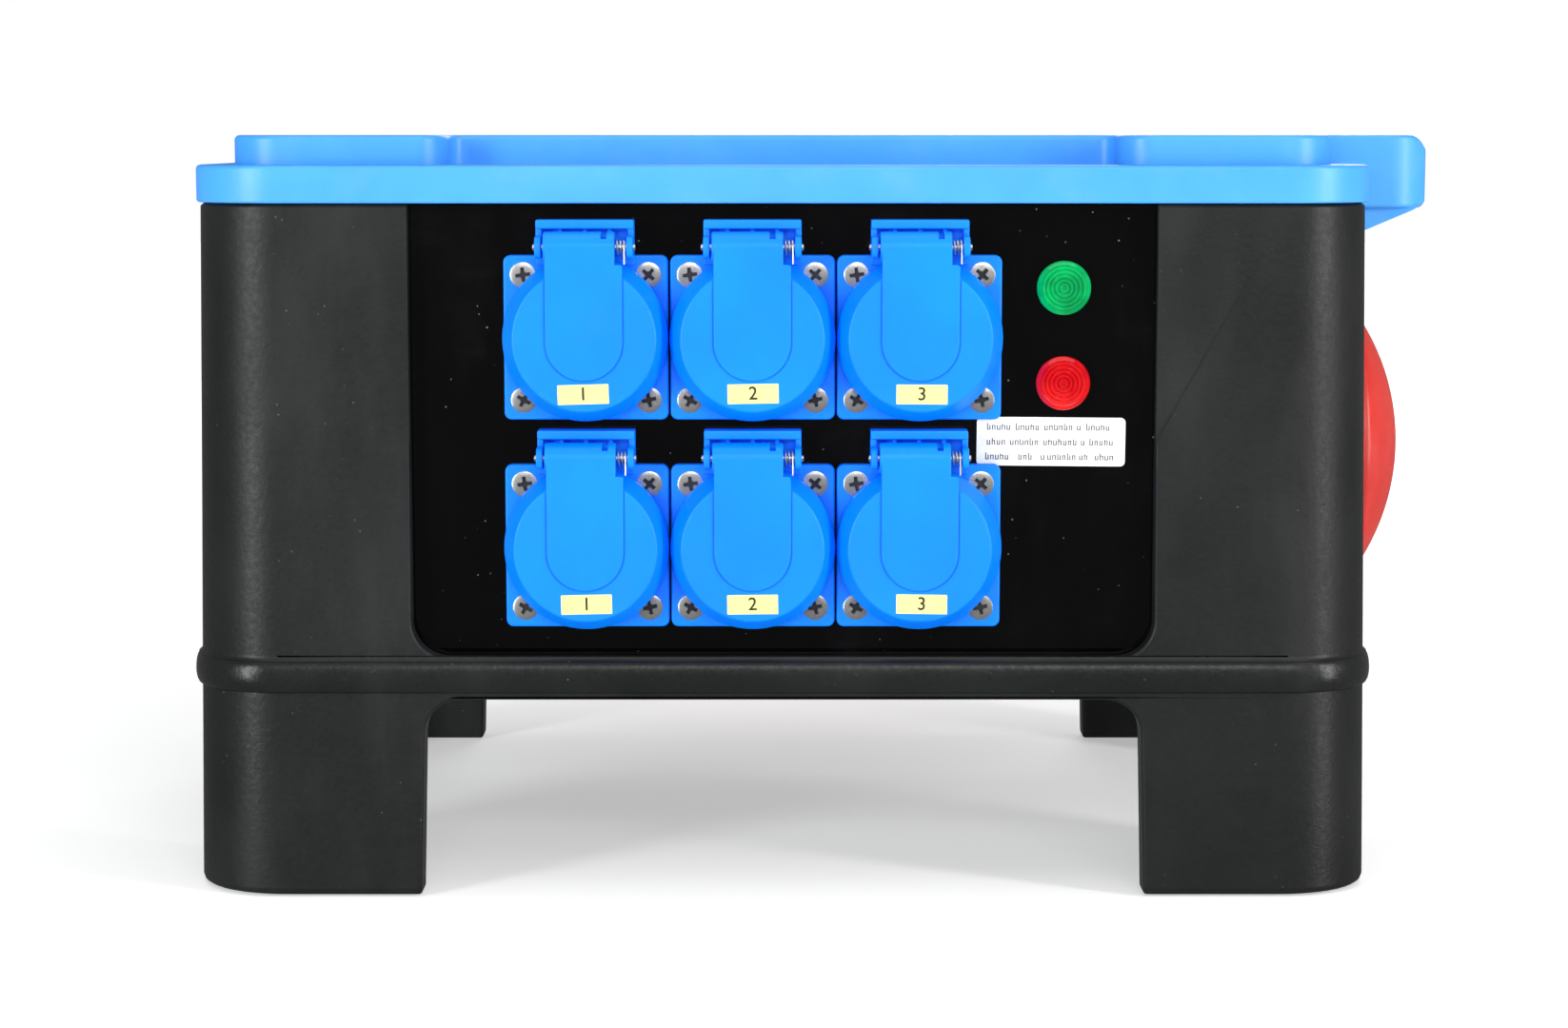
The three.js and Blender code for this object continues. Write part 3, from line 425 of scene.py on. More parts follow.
def rgba(colour):
    """A colour as its socket takes it. A colour that is already a wire passes through."""
    return colour if isinstance(colour, Wire) else (*colour, 1.0)


# %% [markdown]
# ## Finishes
# Each finish is one short function. The body is cast in a dark mould with a fine grain: it has a slow change
# of tone, a few pale flecks of dust and small pits, and its bead is worn a little glossier than the walls.

# %% The dark moulded body
GRAIN = 620


def body_finish():
    paint = Paint("body_grain", IOR=1.46, Specular_IOR_Level=0.3)
    mottle = paint.noise(14, detail=4)
    flecks = paint.specks(260, 0.1) * paint.noise(38).between(0.5, 0.68)
    haze = paint.noise(30, detail=5, stretch=(1, 1, 0.35)).between(0.45, 0.8)
    dark = mottle.between(0.3, 0.7).blend((0.0075, 0.0085, 0.0082), (0.0125, 0.0138, 0.0132))
    dusty = (haze * 0.16).blend(dark, (0.06, 0.062, 0.06))
    paint.set("Base Color", (flecks * 0.35).blend(dusty, (0.2, 0.2, 0.19)))
    height = paint.axis("Z")
    on_bead = height.between(0.0615, 0.0655) * (1 - height.between(0.0715, 0.0755))
    rough = 0.38 + haze * 0.1 + paint.noise(GRAIN).between(0.3, 0.7) * 0.08
    paint.set("Roughness", rough - on_bead * 0.12)
    pits = paint.specks(170, 0.13) * paint.noise(22).between(0.52, 0.7)
    paint.bump(paint.noise(GRAIN, detail=2) * 0.6 + paint.noise(150) * 0.5 + pits * 0.5, 0.32, 0.0004)
    return paint.material


# %% [markdown]
# The lid and the fittings are clean coloured plastic. A very fine texture takes the mirror off them, and a
# slow change in tone keeps a large blue surface from looking like paper.

# %% Coloured plastic
def plastic_finish(name, colour, shade, roughness, grain=500, strength=0.12, dust=0.06, gloss=0.5):
    paint = Paint(name, IOR=1.49, Specular_IOR_Level=gloss)
    mottle = paint.noise(24, detail=4).between(0.3, 0.7)
    haze = paint.noise(60, detail=5).between(0.5, 0.85)
    tone = mottle.blend(colour, shade)
    paint.set("Base Color", (haze * dust).blend(tone, (0.5, 0.52, 0.55)))
    paint.set("Roughness", roughness + haze * 0.12 + paint.noise(grain).between(0.35, 0.65) * 0.05)
    paint.bump(paint.noise(grain, detail=2) + paint.noise(90) * 0.4, strength, 0.0003)
    return paint.material


# %% [markdown]
# The panels are polished sheet. What one sees in them is the room, and the dust that a cloth has pushed into
# arcs and corners, so the roughness carries the picture more than the colour does.

# %% Polished panel sheet
def panel_finish():
    paint = Paint("panel_gloss", IOR=1.45, Specular_IOR_Level=0.22)
    smear = paint.noise(16, detail=6, rough=0.62, stretch=(1, 1, 0.4)).between(0.5, 0.82)
    wiped = paint.noise(70, detail=5, rough=0.7, stretch=(0.5, 1, 2.5)).between(0.45, 0.75)
    flecks = paint.specks(210, 0.075) * paint.noise(33).between(0.42, 0.66)
    film = smear * (0.35 + wiped * 0.65)
    hazed = (film * 0.09).blend((0.0012, 0.0012, 0.0014), (0.12, 0.12, 0.125))
    paint.set("Base Color", (flecks * 0.55).blend(hazed, (0.32, 0.31, 0.29)))
    paint.set("Roughness", 0.07 + film * 0.3 + flecks * 0.4)
    paint.bump(paint.noise(9, detail=1), 0.05, 0.001)
    return paint.material


# %% Metals, rubber, clear plastic and lamp lenses
def metal_finish(name, colour, roughness, tarnish):
    paint = Paint(name, Metallic=1.0)
    dull = paint.noise(3200, detail=3).between(0.3, 0.8)
    paint.set("Base Color", dull.blend(colour, tarnish))
    paint.set("Roughness", roughness + dull * 0.16)
    paint.bump(paint.noise(1800, detail=2), 0.1, 0.0001)
    return paint.material


def rubber_finish():
    paint = Paint("seal_rubber", IOR=1.5)
    paint.set("Base Color", paint.noise(300).between(0.3, 0.7).blend((0.012, 0.012, 0.013), (0.03, 0.03, 0.03)))
    paint.set("Roughness", 0.7 + paint.noise(400) * 0.2)
    paint.bump(paint.noise(900), 0.2, 0.0002)
    return paint.material


def clear_finish():
    paint = Paint("door_clear", IOR=1.49, Transmission_Weight=0.96)
    film = paint.noise(40, detail=5, stretch=(1, 1, 0.4)).between(0.5, 0.85)
    paint.set("Base Color", film.blend((0.86, 0.89, 0.9), (0.7, 0.72, 0.73)))
    paint.set("Roughness", 0.03 + film * 0.12)
    return paint.material


def lens_finish(name, colour, deep):
    paint = Paint(name, IOR=1.49, Transmission_Weight=0.3, Emission_Strength=0.12)
    depth = paint.noise(160, detail=3).between(0.3, 0.7)
    tone = depth.blend(colour, deep)
    paint.set("Base Color", tone).set("Emission Color", tone)
    paint.set("Roughness", 0.09 + paint.noise(500) * 0.06)
    return paint.material


def paper_finish(name, colour, shade, roughness):
    paint = Paint(name, IOR=1.45)
    fibre = paint.noise(700, detail=4).between(0.3, 0.7)
    paint.set("Base Color", fibre.blend(colour, shade))
    paint.set("Roughness", roughness + fibre * 0.08)
    paint.bump(fibre, 0.06, 0.0001)
    return paint.material


finishes = {
    "shell": body_finish(),
    "lid": plastic_finish("lid_blue", (0.04, 0.3, 0.84), (0.055, 0.34, 0.88), 0.38, strength=0.1),
    "panel": panel_finish(),
    "socket": plastic_finish("socket_blue", (0.0, 0.2, 1.0), (0.0, 0.23, 1.0), 0.36, grain=700, dust=0.006,
                             gloss=0.25),
    "red": plastic_finish("outlet_red", (0.58, 0.025, 0.018), (0.66, 0.036, 0.024), 0.34),
    "grey": plastic_finish("insert_grey", (0.03, 0.032, 0.036), (0.045, 0.047, 0.052), 0.5),
    "toggle": plastic_finish("toggle_black", (0.012, 0.013, 0.016), (0.02, 0.021, 0.025), 0.4),
    "device": plastic_finish("device_white", (0.72, 0.72, 0.69), (0.78, 0.78, 0.75), 0.5),
    "steel": metal_finish("zinc_plate", (0.78, 0.78, 0.76), 0.28, (0.5, 0.49, 0.46)),
    "nickel": metal_finish("contact_nickel", (0.8, 0.78, 0.7), 0.22, (0.58, 0.53, 0.42)),
    "rubber": rubber_finish(),
    "clear": clear_finish(),
    "green": lens_finish("lens_green", (0.0, 0.5, 0.13), (0.0, 0.3, 0.08)),
    "lamp_red": lens_finish("lens_red", (0.8, 0.015, 0.015), (0.55, 0.0, 0.005)),
    "sticker": paper_finish("sticker_yellow", (0.95, 0.9, 0.3), (0.92, 0.85, 0.26), 0.5),
    "paper": paper_finish("label_white", (0.9, 0.9, 0.89), (0.84, 0.84, 0.83), 0.4),
    "ink": paper_finish("print_black", (0.02, 0.02, 0.02), (0.035, 0.035, 0.035), 0.5),
    "ink_red": paper_finish("print_red", (0.7, 0.04, 0.03), (0.6, 0.03, 0.03), 0.5),
}
print(len(finishes), "finishes")

# %% [markdown]
# The hidden and flat CAD nodes keep their shape and only take a better finish.

# %% Finishes on the frame's own nodes
SLOT_FINISH = {
    "shell_plastic": "shell", "lid_plastic": "lid", "rubber": "rubber", "panel_gloss": "panel",
    "socket_blue": "socket", "steel": "steel", "pole_red": "red", "insert_grey": "grey",
    "door_clear": "clear", "toggle_black": "toggle", "lens_green": "green", "lens_red": "lamp_red",
    "device_white": "device",
}
LOOK_SLOT = {look: slot for slot, look in SLOT_FINISH.items()} # the frame's material slot that matches each look
LOOK_SLOT |= {"nickel": "steel", "sticker": "device_white", "paper": "device_white", "ink": "toggle_black",
              "ink_red": "lens_red"}
for row in frame["record"]["subparts"]:
    node = frame["nodes"][row["node"]]
    node.data.materials.clear()
    node.data.materials.append(finishes[SLOT_FINISH[row["material_slot"]]])
print(len(frame["nodes"]), "frame nodes finished")

# %% [markdown]
# ## Camera, floor and light
# The camera stands about a metre in front of the box, level with the lid's top, and looks slightly down. Soft
# area lights above and beside it draw the long pale bands on the rounded corner columns, and a pale floor
# and world give the bright, shadow-light look of a product studio.

# %% Camera
CAMERA_DISTANCE = 1.115 # from the middle of the body
CAMERA_PITCH = 6.68 # degrees downwards
CAMERA_FOCAL = 74.3
lid_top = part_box("lid")[1].z

camera_data = bpy.data.cameras.new("front_camera")
camera_data.lens = CAMERA_FOCAL
camera_data.sensor_width = 36
camera = new_object("front_camera", camera_data)
camera.location = (body_middle.x + 0.0004, body_middle.y - CAMERA_DISTANCE, lid_top)
camera.rotation_euler = (math.radians(90 - CAMERA_PITCH), 0, 0)
bpy.context.scene.camera = camera
print("camera at", [round(value, 4) for value in camera.location])

# %% Floor and light
def area_light(name, place, target, width, height, power, colour=(1, 1, 1)):
    data = bpy.data.lights.new(name, "AREA")
    data.shape = "RECTANGLE"
    data.size = width
    data.size_y = height
    data.energy = power
    data.color = colour
    lamp = new_object(name, data)
    lamp.location = place
    aim = Vector(target) - Vector(place)
    lamp.rotation_euler = aim.to_track_quat("-Z", "Y").to_euler()


def floor_plane():
    bm = bmesh.new()
    bmesh.ops.create_grid(bm, x_segments=4, y_segments=4, size=6)
    floor = to_object(bm, "studio_floor")
    paint = Paint("floor_paper", Emission_Strength=1.0, Specular_IOR_Level=0.1)
    paint.set("Base Color", paint.noise(6).blend((0.84, 0.84, 0.84), (0.87, 0.87, 0.87)))
    paint.set("Roughness", 0.7 + paint.noise(20) * 0.1)
    # the floor glows: painted light, a weak glow near the box that lightens its shadow, rising to full white
    # far off
    across, back = paint.axis("X"), paint.axis("Y")
    distance = (across * across + back * back * 2.2).between(0.3, 3.0)
    paint.set("Emission Color", distance.blend((0.42, 0.42, 0.42), (1.0, 1.0, 1.0)))
    floor.data.materials.append(paint.material)
    floor.location = (0, 0, -0.0005)
    floor.visible_glossy = False # so the polished panel and dark body mirror the room, not the bright floor


def studio_world():
    """A white backdrop for the camera, and a softer grey one for light and reflections."""
    world = bpy.data.worlds.new("studio")
    world.use_nodes = True
    nodes, links = world.node_tree.nodes, world.node_tree.links
    room, white = nodes["Background"], nodes.new("ShaderNodeBackground")
    choice = nodes.new("ShaderNodeMixShader")
    room.inputs["Color"].default_value = rgba((1, 1, 1))
    room.inputs["Strength"].default_value = 0.2
    white.inputs["Color"].default_value = rgba((1, 1, 1))
    white.inputs["Strength"].default_value = 1.0
    links.new(nodes.new("ShaderNodeLightPath").outputs["Is Camera Ray"], choice.inputs[0])
    links.new(room.outputs[0], choice.inputs[1])
    links.new(white.outputs[0], choice.inputs[2])
    links.new(choice.outputs[0], nodes["World Output"].inputs[0])
    bpy.context.scene.world = world


studio_world()
bpy.context.scene.view_settings.view_transform = "Standard"
floor_plane()
area_light("top_soft", (0, -0.35, 1.5), (0, 0, 0.1), 1.8, 1.4, 10)
area_light("front_soft", (0.25, -2.1, 0.95), (0, 0, 0.12), 1.2, 0.5, 12)
area_light("left_strip", (-1.25, -1.35, 0.3), (-0.12, 0, 0.12), 0.38, 1.1, 24, (0.97, 0.99, 1.0))
area_light("right_strip", (1.25, -0.85, 0.35), (0.12, 0, 0.14), 0.2, 1.1, 16, (1.0, 0.99, 0.97))
area_light("rear_soft", (0.3, 1.7, 0.9), (0, 0, 0.12), 0.9, 0.7, 8)

# %% [markdown]
# ## The body
# The real body is one deep moulding. We draw its rounded outline at the floor and push it up level by level,
# a little smaller each time, with the rounded bead as a few levels of its own. Then the inside, the gaps
# between the legs and the openings for the panels are cut, and every cut edge is softened as a mould would
# leave it.

# %% Body: the outer walls
BODY_TOP = size_mm("body_shell").z
FLARE = 2.9
CORNER = 27
WALL = 5
UNDERSIDE = 61
SILL = 74
BEAD_LOW = 63.2
BEAD_MIDDLE = 68.2
BEAD_HALF = 5
BEAD_OUT = 1.8
BEAD_SIDE = FLARE * (1 - BEAD_LOW / BODY_TOP) + BEAD_OUT # how far the bead stands out past the body's top edge
BODY_X = size_mm("body_shell").x / 2 - BEAD_SIDE
BODY_Y = size_mm("body_shell").y / 2 - BEAD_SIDE


def flare_at(height):
    return FLARE * (1 - height / BODY_TOP)


def body_levels():
    """[height, outset] from the feet up, with a rounded foot edge and the half-round bead."""
    levels = [(0, FLARE - 2.4), (0.35, FLARE - 1.3), (1.1, FLARE - 0.45), (2.6, flare_at(2.6))]
    levels += [(30, flare_at(30)), (BEAD_MIDDLE - BEAD_HALF - 1.6, flare_at(61.6))]
    for angle in range(180, -1, -15):
        rise = math.cos(math.radians(angle))
        out = BEAD_OUT * math.sin(math.radians(angle)) ** 0.8
        height = BEAD_MIDDLE + BEAD_HALF * rise
        levels.append((height, flare_at(height) + out))
    levels += [(BEAD_MIDDLE + BEAD_HALF + 1.6, flare_at(74.8)), (140, flare_at(140))]
    return levels + [(BODY_TOP - 0.8, 0), (BODY_TOP, -0.8)]


def stacked(half_x, half_y, radius, levels, steps=14):
    """A rounded block pushed up level by level, each [height, outset] level with its own size."""
    bm = outline(rectangle(half_x, half_y, radius), steps)
    top = bm.verts[:]
    height, outset = levels[0]
    bmesh.ops.translate(bm, vec=(0, 0, height), verts=top)
    bmesh.ops.scale(bm, vec=((half_x + outset) / half_x, (half_y + outset) / half_y, 1), verts=top)
    face = bm.faces[:]
    for level, (next_height, next_outset) in enumerate(levels[1:]):
        pushed = bmesh.ops.extrude_face_region(bm, geom=face)["geom"]
        if level > 0:
            bmesh.ops.delete(bm, geom=face, context="FACES_ONLY")
        top, face = only(bmesh.types.BMVert, pushed), only(bmesh.types.BMFace, pushed)
        bmesh.ops.translate(bm, vec=(0, 0, next_height - height), verts=top)
        grow_x = (half_x + next_outset) / (half_x + outset)
        grow_y = (half_y + next_outset) / (half_y + outset)
        bmesh.ops.scale(bm, vec=(grow_x, grow_y, 1), verts=top)
        height, outset = next_height, next_outset
    bmesh.ops.recalc_face_normals(bm, faces=bm.faces)
    return bm


# %% Body: gaps, openings and the finished shell
LEG_WALL = 13
FRONT_GAP = 109.7
REAR_GAP = 115
SIDE_GAP = 75
LEG_TAPER = 1.7
OPENING_X = 113.5
OPENING_Y = 80
FAR = 250


def leg_gap(half):
    return [(-half - LEG_TAPER, -5, 0), (half + LEG_TAPER, -5, 0), (half, UNDERSIDE, 11),
            (-half, UNDERSIDE, 11)]


def panel_opening(half):
    top = BODY_TOP + 5
    return [(-half, top, 0), (-half, SILL, 11.5), (half, SILL, 11.5), (half, top, 0)]


def body_shell():
    shell = stacked(BODY_X, BODY_Y, CORNER, body_levels())
    inside = slab(rectangle(BODY_X - WALL, BODY_Y - WALL, CORNER - WALL), UNDERSIDE + 5, BODY_TOP + 5, 10)
    pocket_x = BODY_X + FLARE - LEG_WALL
    pocket_y = BODY_Y + FLARE - LEG_WALL
    pocket = slab(rectangle(pocket_x, pocket_y, CORNER - LEG_WALL), -5, UNDERSIDE, 8)
    shell = cut(shell, inside, pocket)
    shell = cut(shell, along_y(outline(leg_gap(FRONT_GAP), 10), -FAR, 0),
                along_y(outline(leg_gap(REAR_GAP), 10), 0, FAR))
    shell = cut(shell, along_x(outline(leg_gap(SIDE_GAP), 10), -FAR, FAR))
    shell = cut(shell, along_y(outline(panel_opening(OPENING_X), 10), -FAR, FAR))
    shell = cut(shell, along_x(outline(panel_opening(OPENING_Y), 10), -FAR, FAR))
    return shell


def on_cut_edge(edge):
    """Edges of the openings and leg gaps, away from the inside of the box."""
    low = min(vert.co.z for vert in edge.verts)
    high = max(vert.co.z for vert in edge.verts)
    return high < UNDERSIDE + 1 or (low > SILL - 1 and high < BODY_TOP - 0.9)


shell = soften(body_shell(), 1.1, steps=3, where=on_cut_edge, sharper_than=45)
print("body shell faces:", len(shell.faces))
finish(shell, "body_shell_fine", body_place, "shell")

# %% [markdown]
# ## The lid
# The lid is a flat rim with a raised platform on it. The platform steps back in the middle of the front and
# rear, so two boxes can be stacked and strapped. Each layer gets its rounded edges before the layers are
# joined, which keeps every fillet clean, and the carry handle is a thick block whose finger gap is cut last.

# %% Lid layers
RIM_X = BODY_X + 1.2
RIM_Y = BODY_Y + 1.2
RIM_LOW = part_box("lid_gasket")[0].z / MM
LID_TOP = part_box("lid")[1].z / MM
RIM_HIGH = LID_TOP - 9
LEDGE = 12
HANDLE_OUT = (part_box("lid")[1].x - body_middle.x) / MM
HANDLE_HALF = 61
GRIP = 11
SCREW_X = RIM_X - 21.6
SCREW_Y = RIM_Y - 21.6


def platform(inset):
    """The raised platform's outline, set back in the middle of its front and rear."""
    x, y = RIM_X - LEDGE - inset, RIM_Y - LEDGE - inset
    notch_x, notch_y = 103 + inset, RIM_Y - LEDGE - 22 - inset
    corner = 16 - inset
    quarter = [(x, y, corner), (notch_x, y, 11), (notch_x, notch_y, 5.5)]
    mirrored = [(-a, b, r) for a, b, r in reversed(quarter)]
    return [(-a, -b, r) for a, b, r in quarter] + [(a, -b, r) for a, b, r in quarter[::-1]] + quarter + mirrored


def upper_edges(height):
    """A test for edges that lie at one height."""
    return lambda edge: all(abs(vert.co.z - height) < 0.05 for vert in edge.verts)


def lid_rim():
    levels = [(RIM_LOW, -0.7), (RIM_LOW + 0.25, -0.25), (RIM_LOW + 0.8, 0), (RIM_HIGH - 1.3, 0)]
    levels += [(RIM_HIGH - 0.6, -0.2), (RIM_HIGH - 0.2, -0.6), (RIM_HIGH, -1.3)]
    return stacked(RIM_X, RIM_Y, CORNER + 1.2, levels, steps=14)


def handle_block():
    low = RIM_LOW - 3
    side = [(RIM_X - LEDGE - 5, LID_TOP, 0), (RIM_X - LEDGE - 5, RIM_LOW, 0), (RIM_X, RIM_LOW, 0),
            (RIM_X, low, 0), (HANDLE_OUT, low, 4), (HANDLE_OUT, LID_TOP, 8)]
    plan = [(0, -HANDLE_HALF, 0), (HANDLE_OUT, -HANDLE_HALF, 14), (HANDLE_OUT, HANDLE_HALF, 14),
            (0, HANDLE_HALF, 0)]
    block = trim(along_y(outline(side, 10), -HANDLE_HALF, HANDLE_HALF), slab(plan, 0, LID_TOP + 5, 12))
    return soften(block, 1.3, where=lambda edge: min(vert.co.x for vert in edge.verts) > RIM_X - LEDGE + 3)


def gussets():
    low = RIM_LOW - 3
    web = [(RIM_X, low + 1, 0), (RIM_X, low - 9.5, 0), (RIM_X + 3, low - 9.5, 2), (HANDLE_OUT - 4, low, 2),
           (HANDLE_OUT - 4, low + 1, 0)]
    middle_y = HANDLE_HALF - GRIP / 2
    return [along_y(outline(web, 5), side * middle_y - 2.5, side * middle_y + 2.5) for side in (-1, 1)]


# %% Lid: joined, hollowed and cut
def screw_places():
    return [(side_x * SCREW_X, side_y * SCREW_Y) for side_x in (-1, 1) for side_y in (-1, 1)]


def lid():
    top = slab(platform(0), RIM_HIGH - 1, LID_TOP, 8, soft=1.5, where=upper_edges(LID_TOP))
    whole = join(lid_rim(), top, handle_block(), *gussets())
    posts = [rod_z(7, 0, LID_TOP, x, y, steps=40) for x, y in screw_places()]
    hollow = cut(slab(platform(4), RIM_LOW - 1, LID_TOP - 3.5, 8), *posts)
    far = HANDLE_OUT - GRIP
    gap_half = HANDLE_HALF - GRIP
    groove_x, groove_y = RIM_X - 5.9, RIM_Y - 5.9
    groove = cut(slab(rectangle(groove_x + 2.8, groove_y + 2.8, 24.8), RIM_LOW - 1, RIM_LOW + 1.5, 8),
                 slab(rectangle(groove_x - 2.8, groove_y - 2.8, 19.2), RIM_LOW - 2, RIM_LOW + 3, 8))
    finger_gap = box((RIM_X, far), (-gap_half, gap_half), (0, LID_TOP + 2))
    ledge_gap = box((RIM_X - LEDGE, far), (-gap_half, gap_half), (RIM_HIGH, LID_TOP + 2))
    body = cut(whole, hollow, groove, finger_gap, ledge_gap)

    def round_gap(edge):
        inside = all(RIM_X - LEDGE - 0.1 < vert.co.x < far + 0.1 for vert in edge.verts)
        return inside and all(abs(vert.co.y) < gap_half + 0.1 for vert in edge.verts)

    soften(body, 1.0, where=round_gap, sharper_than=50)
    seat = [(0, 0), (2.2, 0), (2.2, LID_TOP - 8), (4.6, LID_TOP - 8), (4.6, LID_TOP - 0.5),
            (5.3, LID_TOP + 0.2), (0, LID_TOP + 0.2)]
    return cut(body, *[shift(turned(seat, 40), x, y) for x, y in screw_places()])


lid_mesh = lid()
print("lid faces:", len(lid_mesh.faces))
finish(lid_mesh, "lid_fine", body_place, "lid")

# %% [markdown]
# ## Screws
# The cross recess is what makes a small disc read as a screw. A countersunk head has a slightly domed top, a
# cross with a wider centre, and four fine marks between its arms. Screws on one fitting are one piece, each
# turned by a different amount, as a screwdriver leaves them.

# %% Screw heads
def moved(bm, x=0.0, y=0.0, z=0.0, turn=0.0):
    return shift(rotate(bm, turn, "Z"), x, y, z)


def merged(parts):
    """Several separate solids in one bmesh."""
    whole = bmesh.new()
    for part in parts:
        mesh = bpy.data.meshes.new("part")
        part.to_mesh(mesh)
        part.free()
        whole.from_mesh(mesh)
        bpy.data.meshes.remove(mesh)
    return whole


def cross_recess(radius, top):
    arm = radius * 0.58
    width = radius * 0.15
    depth = radius * 0.42
    core = turned([(0, top - depth), (radius * 0.1, top - depth), (radius * 0.36, top + 0.5), (0, top + 0.5)],
                  16)
    tools = [box((-arm, arm), (-width, width), (top - depth * 0.75, top + 1)),
             box((-width, width), (-arm, arm), (top - depth * 0.75, top + 1)), core]
    for turn in (45, 135):
        reach, thin = radius * 0.72, radius * 0.025
        tools.append(moved(box((-reach, reach), (-thin, thin), (top - radius * 0.07, top + 1)), turn=turn))
    return tools


def countersunk_head(radius, shank):
    profile = [(0, -radius * 0.62), (shank, -radius * 0.62), (radius * 0.97, -0.16), (radius, -0.08),
               (radius, 0.0), (radius * 0.94, 0.1), (radius * 0.7, 0.2), (0, 0.28)]
    return cut(turned(profile, 36), *cross_recess(radius, 0.24))


def pan_head(radius, height):
    profile = [(0, 0), (radius, 0), *arc((radius - 0.9, height - 0.9), 0.9, 0, 80, 4), (0, height + 0.2)]
    return cut(turned(profile, 36), *cross_recess(radius * 0.9, height + 0.1))


def screw_set(head, places, height):
    """The same head at several [x, y] places, each turned by its own angle."""
    heads = copies(head, len(places))
    return merged(moved(item, x, y, height, turn=37 * index + 11 * x)
                  for index, (item, (x, y)) in enumerate(zip(heads, places)))


def recess_dust_and_shade(radius, top):
    """A dark cross at the bottom of a recess: dust, and painted shade where the recess is deepest."""
    arm, width, low, high = radius * 0.55, radius * 0.13, top - radius * 0.28, top - radius * 0.16
    core = turned([(0, low - 0.1), (radius * 0.24, low - 0.1), (radius * 0.24, high), (0, high)], 16)
    bars = [box((-arm, arm), (-width, width), (low, high)), box((-width, width), (-arm, arm), (low, high))]
    return join(core, *bars)


lid_screws = screw_set(pan_head(3.7, 2.6), screw_places(), LID_TOP - 7.95)
finish(lid_screws, "lid_screws", body_place, "steel")
print("lid screws done")

# %% [markdown]
# ## Socket outlets
# One socket outlet is modelled once, round its own middle, and placed six times. It has a square flange, a
# round collar with the plug's well in it, a hinge block with two ears, and a sprung cover: a shallow cone
# with a flat disc and a raised tongue that runs up to the hinge.

# %% Socket housing
FLANGE = 25
FLANGE_TOP = 3.3
PIN_Y = 27.6
PIN_OUT = 10.7
EAR = 14.8
WELL = 19.5
WELL_FLOOR = -12.3
COLLAR = 21.3
COLLAR_TOP = 5.2
FIXINGS = [(x, y) for x in (-19, 19) for y in (-19, 19)]
CONTACTS = [(-9.5, 0), (9.5, 0)]
PIN_HOLE = 1.25


def ear(low_y, high_y, base, top, corner, low_x, high_x, soft=0.45):
    shape = [(low_y, base, 0), (high_y, base, 0), (high_y, top, corner), (low_y, top, corner)]
    return soften(along_x(outline(shape, 7), low_x, high_x), soft, steps=2, sharper_than=50)


def countersink(x, y, top, shank, head):
    depth = head - shank
    profile = [(0, -5), (shank, -5), (shank, top - depth), (head, top), (head, top + 2), (0, top + 2)]
    return moved(turned(profile, 28), x, y)


def socket_housing():
    flange = slab(rectangle(FLANGE, FLANGE, 2.2), 0.3, FLANGE_TOP, 6, soft=0.7, where=upper_edges(FLANGE_TOP))
    neck = box((-EAR, EAR), (22, 35.8), (0.3, FLANGE_TOP + 0.6), soft=0.4)
    lip = box((-EAR, EAR), (33.0, 35.8), (0.3, 8), soft=0.55)
    ears = [ear(24.2, 31.0, 2.0, 14.0, 3.0, low, low + 2) for low in (-EAR, EAR - 2)]
    webs = [box((side * 13.9 - 0.9, side * 13.9 + 0.9), (30.2, 34.2), (2.0, 7.2), soft=0.35)
            for side in (-1, 1)]
    ribs = [box((x - 0.6, x + 0.6), (31.5, 33.6), (3.2, 6.2), soft=0.2) for x in (-7.5, 0, 7.5)]
    collar = turned([(0, -24), (19.6, -24), (COLLAR, -22.5), (COLLAR, COLLAR_TOP - 0.5),
                     *arc((COLLAR - 0.5, COLLAR_TOP - 0.5), 0.5, 0, 90, 4), (0, COLLAR_TOP)], 72)
    whole = join(flange, neck, lip, *ears, *webs, *ribs, collar)
    well = turned([(0, WELL_FLOOR), (WELL - 0.6, WELL_FLOOR), (WELL, WELL_FLOOR + 0.6),
                   (WELL, COLLAR_TOP - 0.4), (WELL + 0.6, COLLAR_TOP + 0.2), (0, COLLAR_TOP + 0.2)], 72)
    sinks = [countersink(x, y, FLANGE_TOP, 1.9, 3.95) for x, y in FIXINGS]
    contacts = [rod_z(2.6, WELL_FLOOR - 9, WELL_FLOOR + 1, x, y, steps=24) for x, y in CONTACTS]
    bore = rod_x(PIN_HOLE, -EAR - 1, EAR + 1, PIN_Y, PIN_OUT, steps=20)
    whole = cut(whole, well, *sinks, *contacts, bore)
    rails = [box((side * 18.2 - 1.6, side * 18.2 + 1.6), (-2.2, 2.2), (WELL_FLOOR - 0.5, 1.5), soft=0.5)
             for side in (-1, 1)]
    return join(whole, *rails)


# %% Socket cover
FACE_OUT = 14.8
COVER = 25.1
TONGUE = 11.65


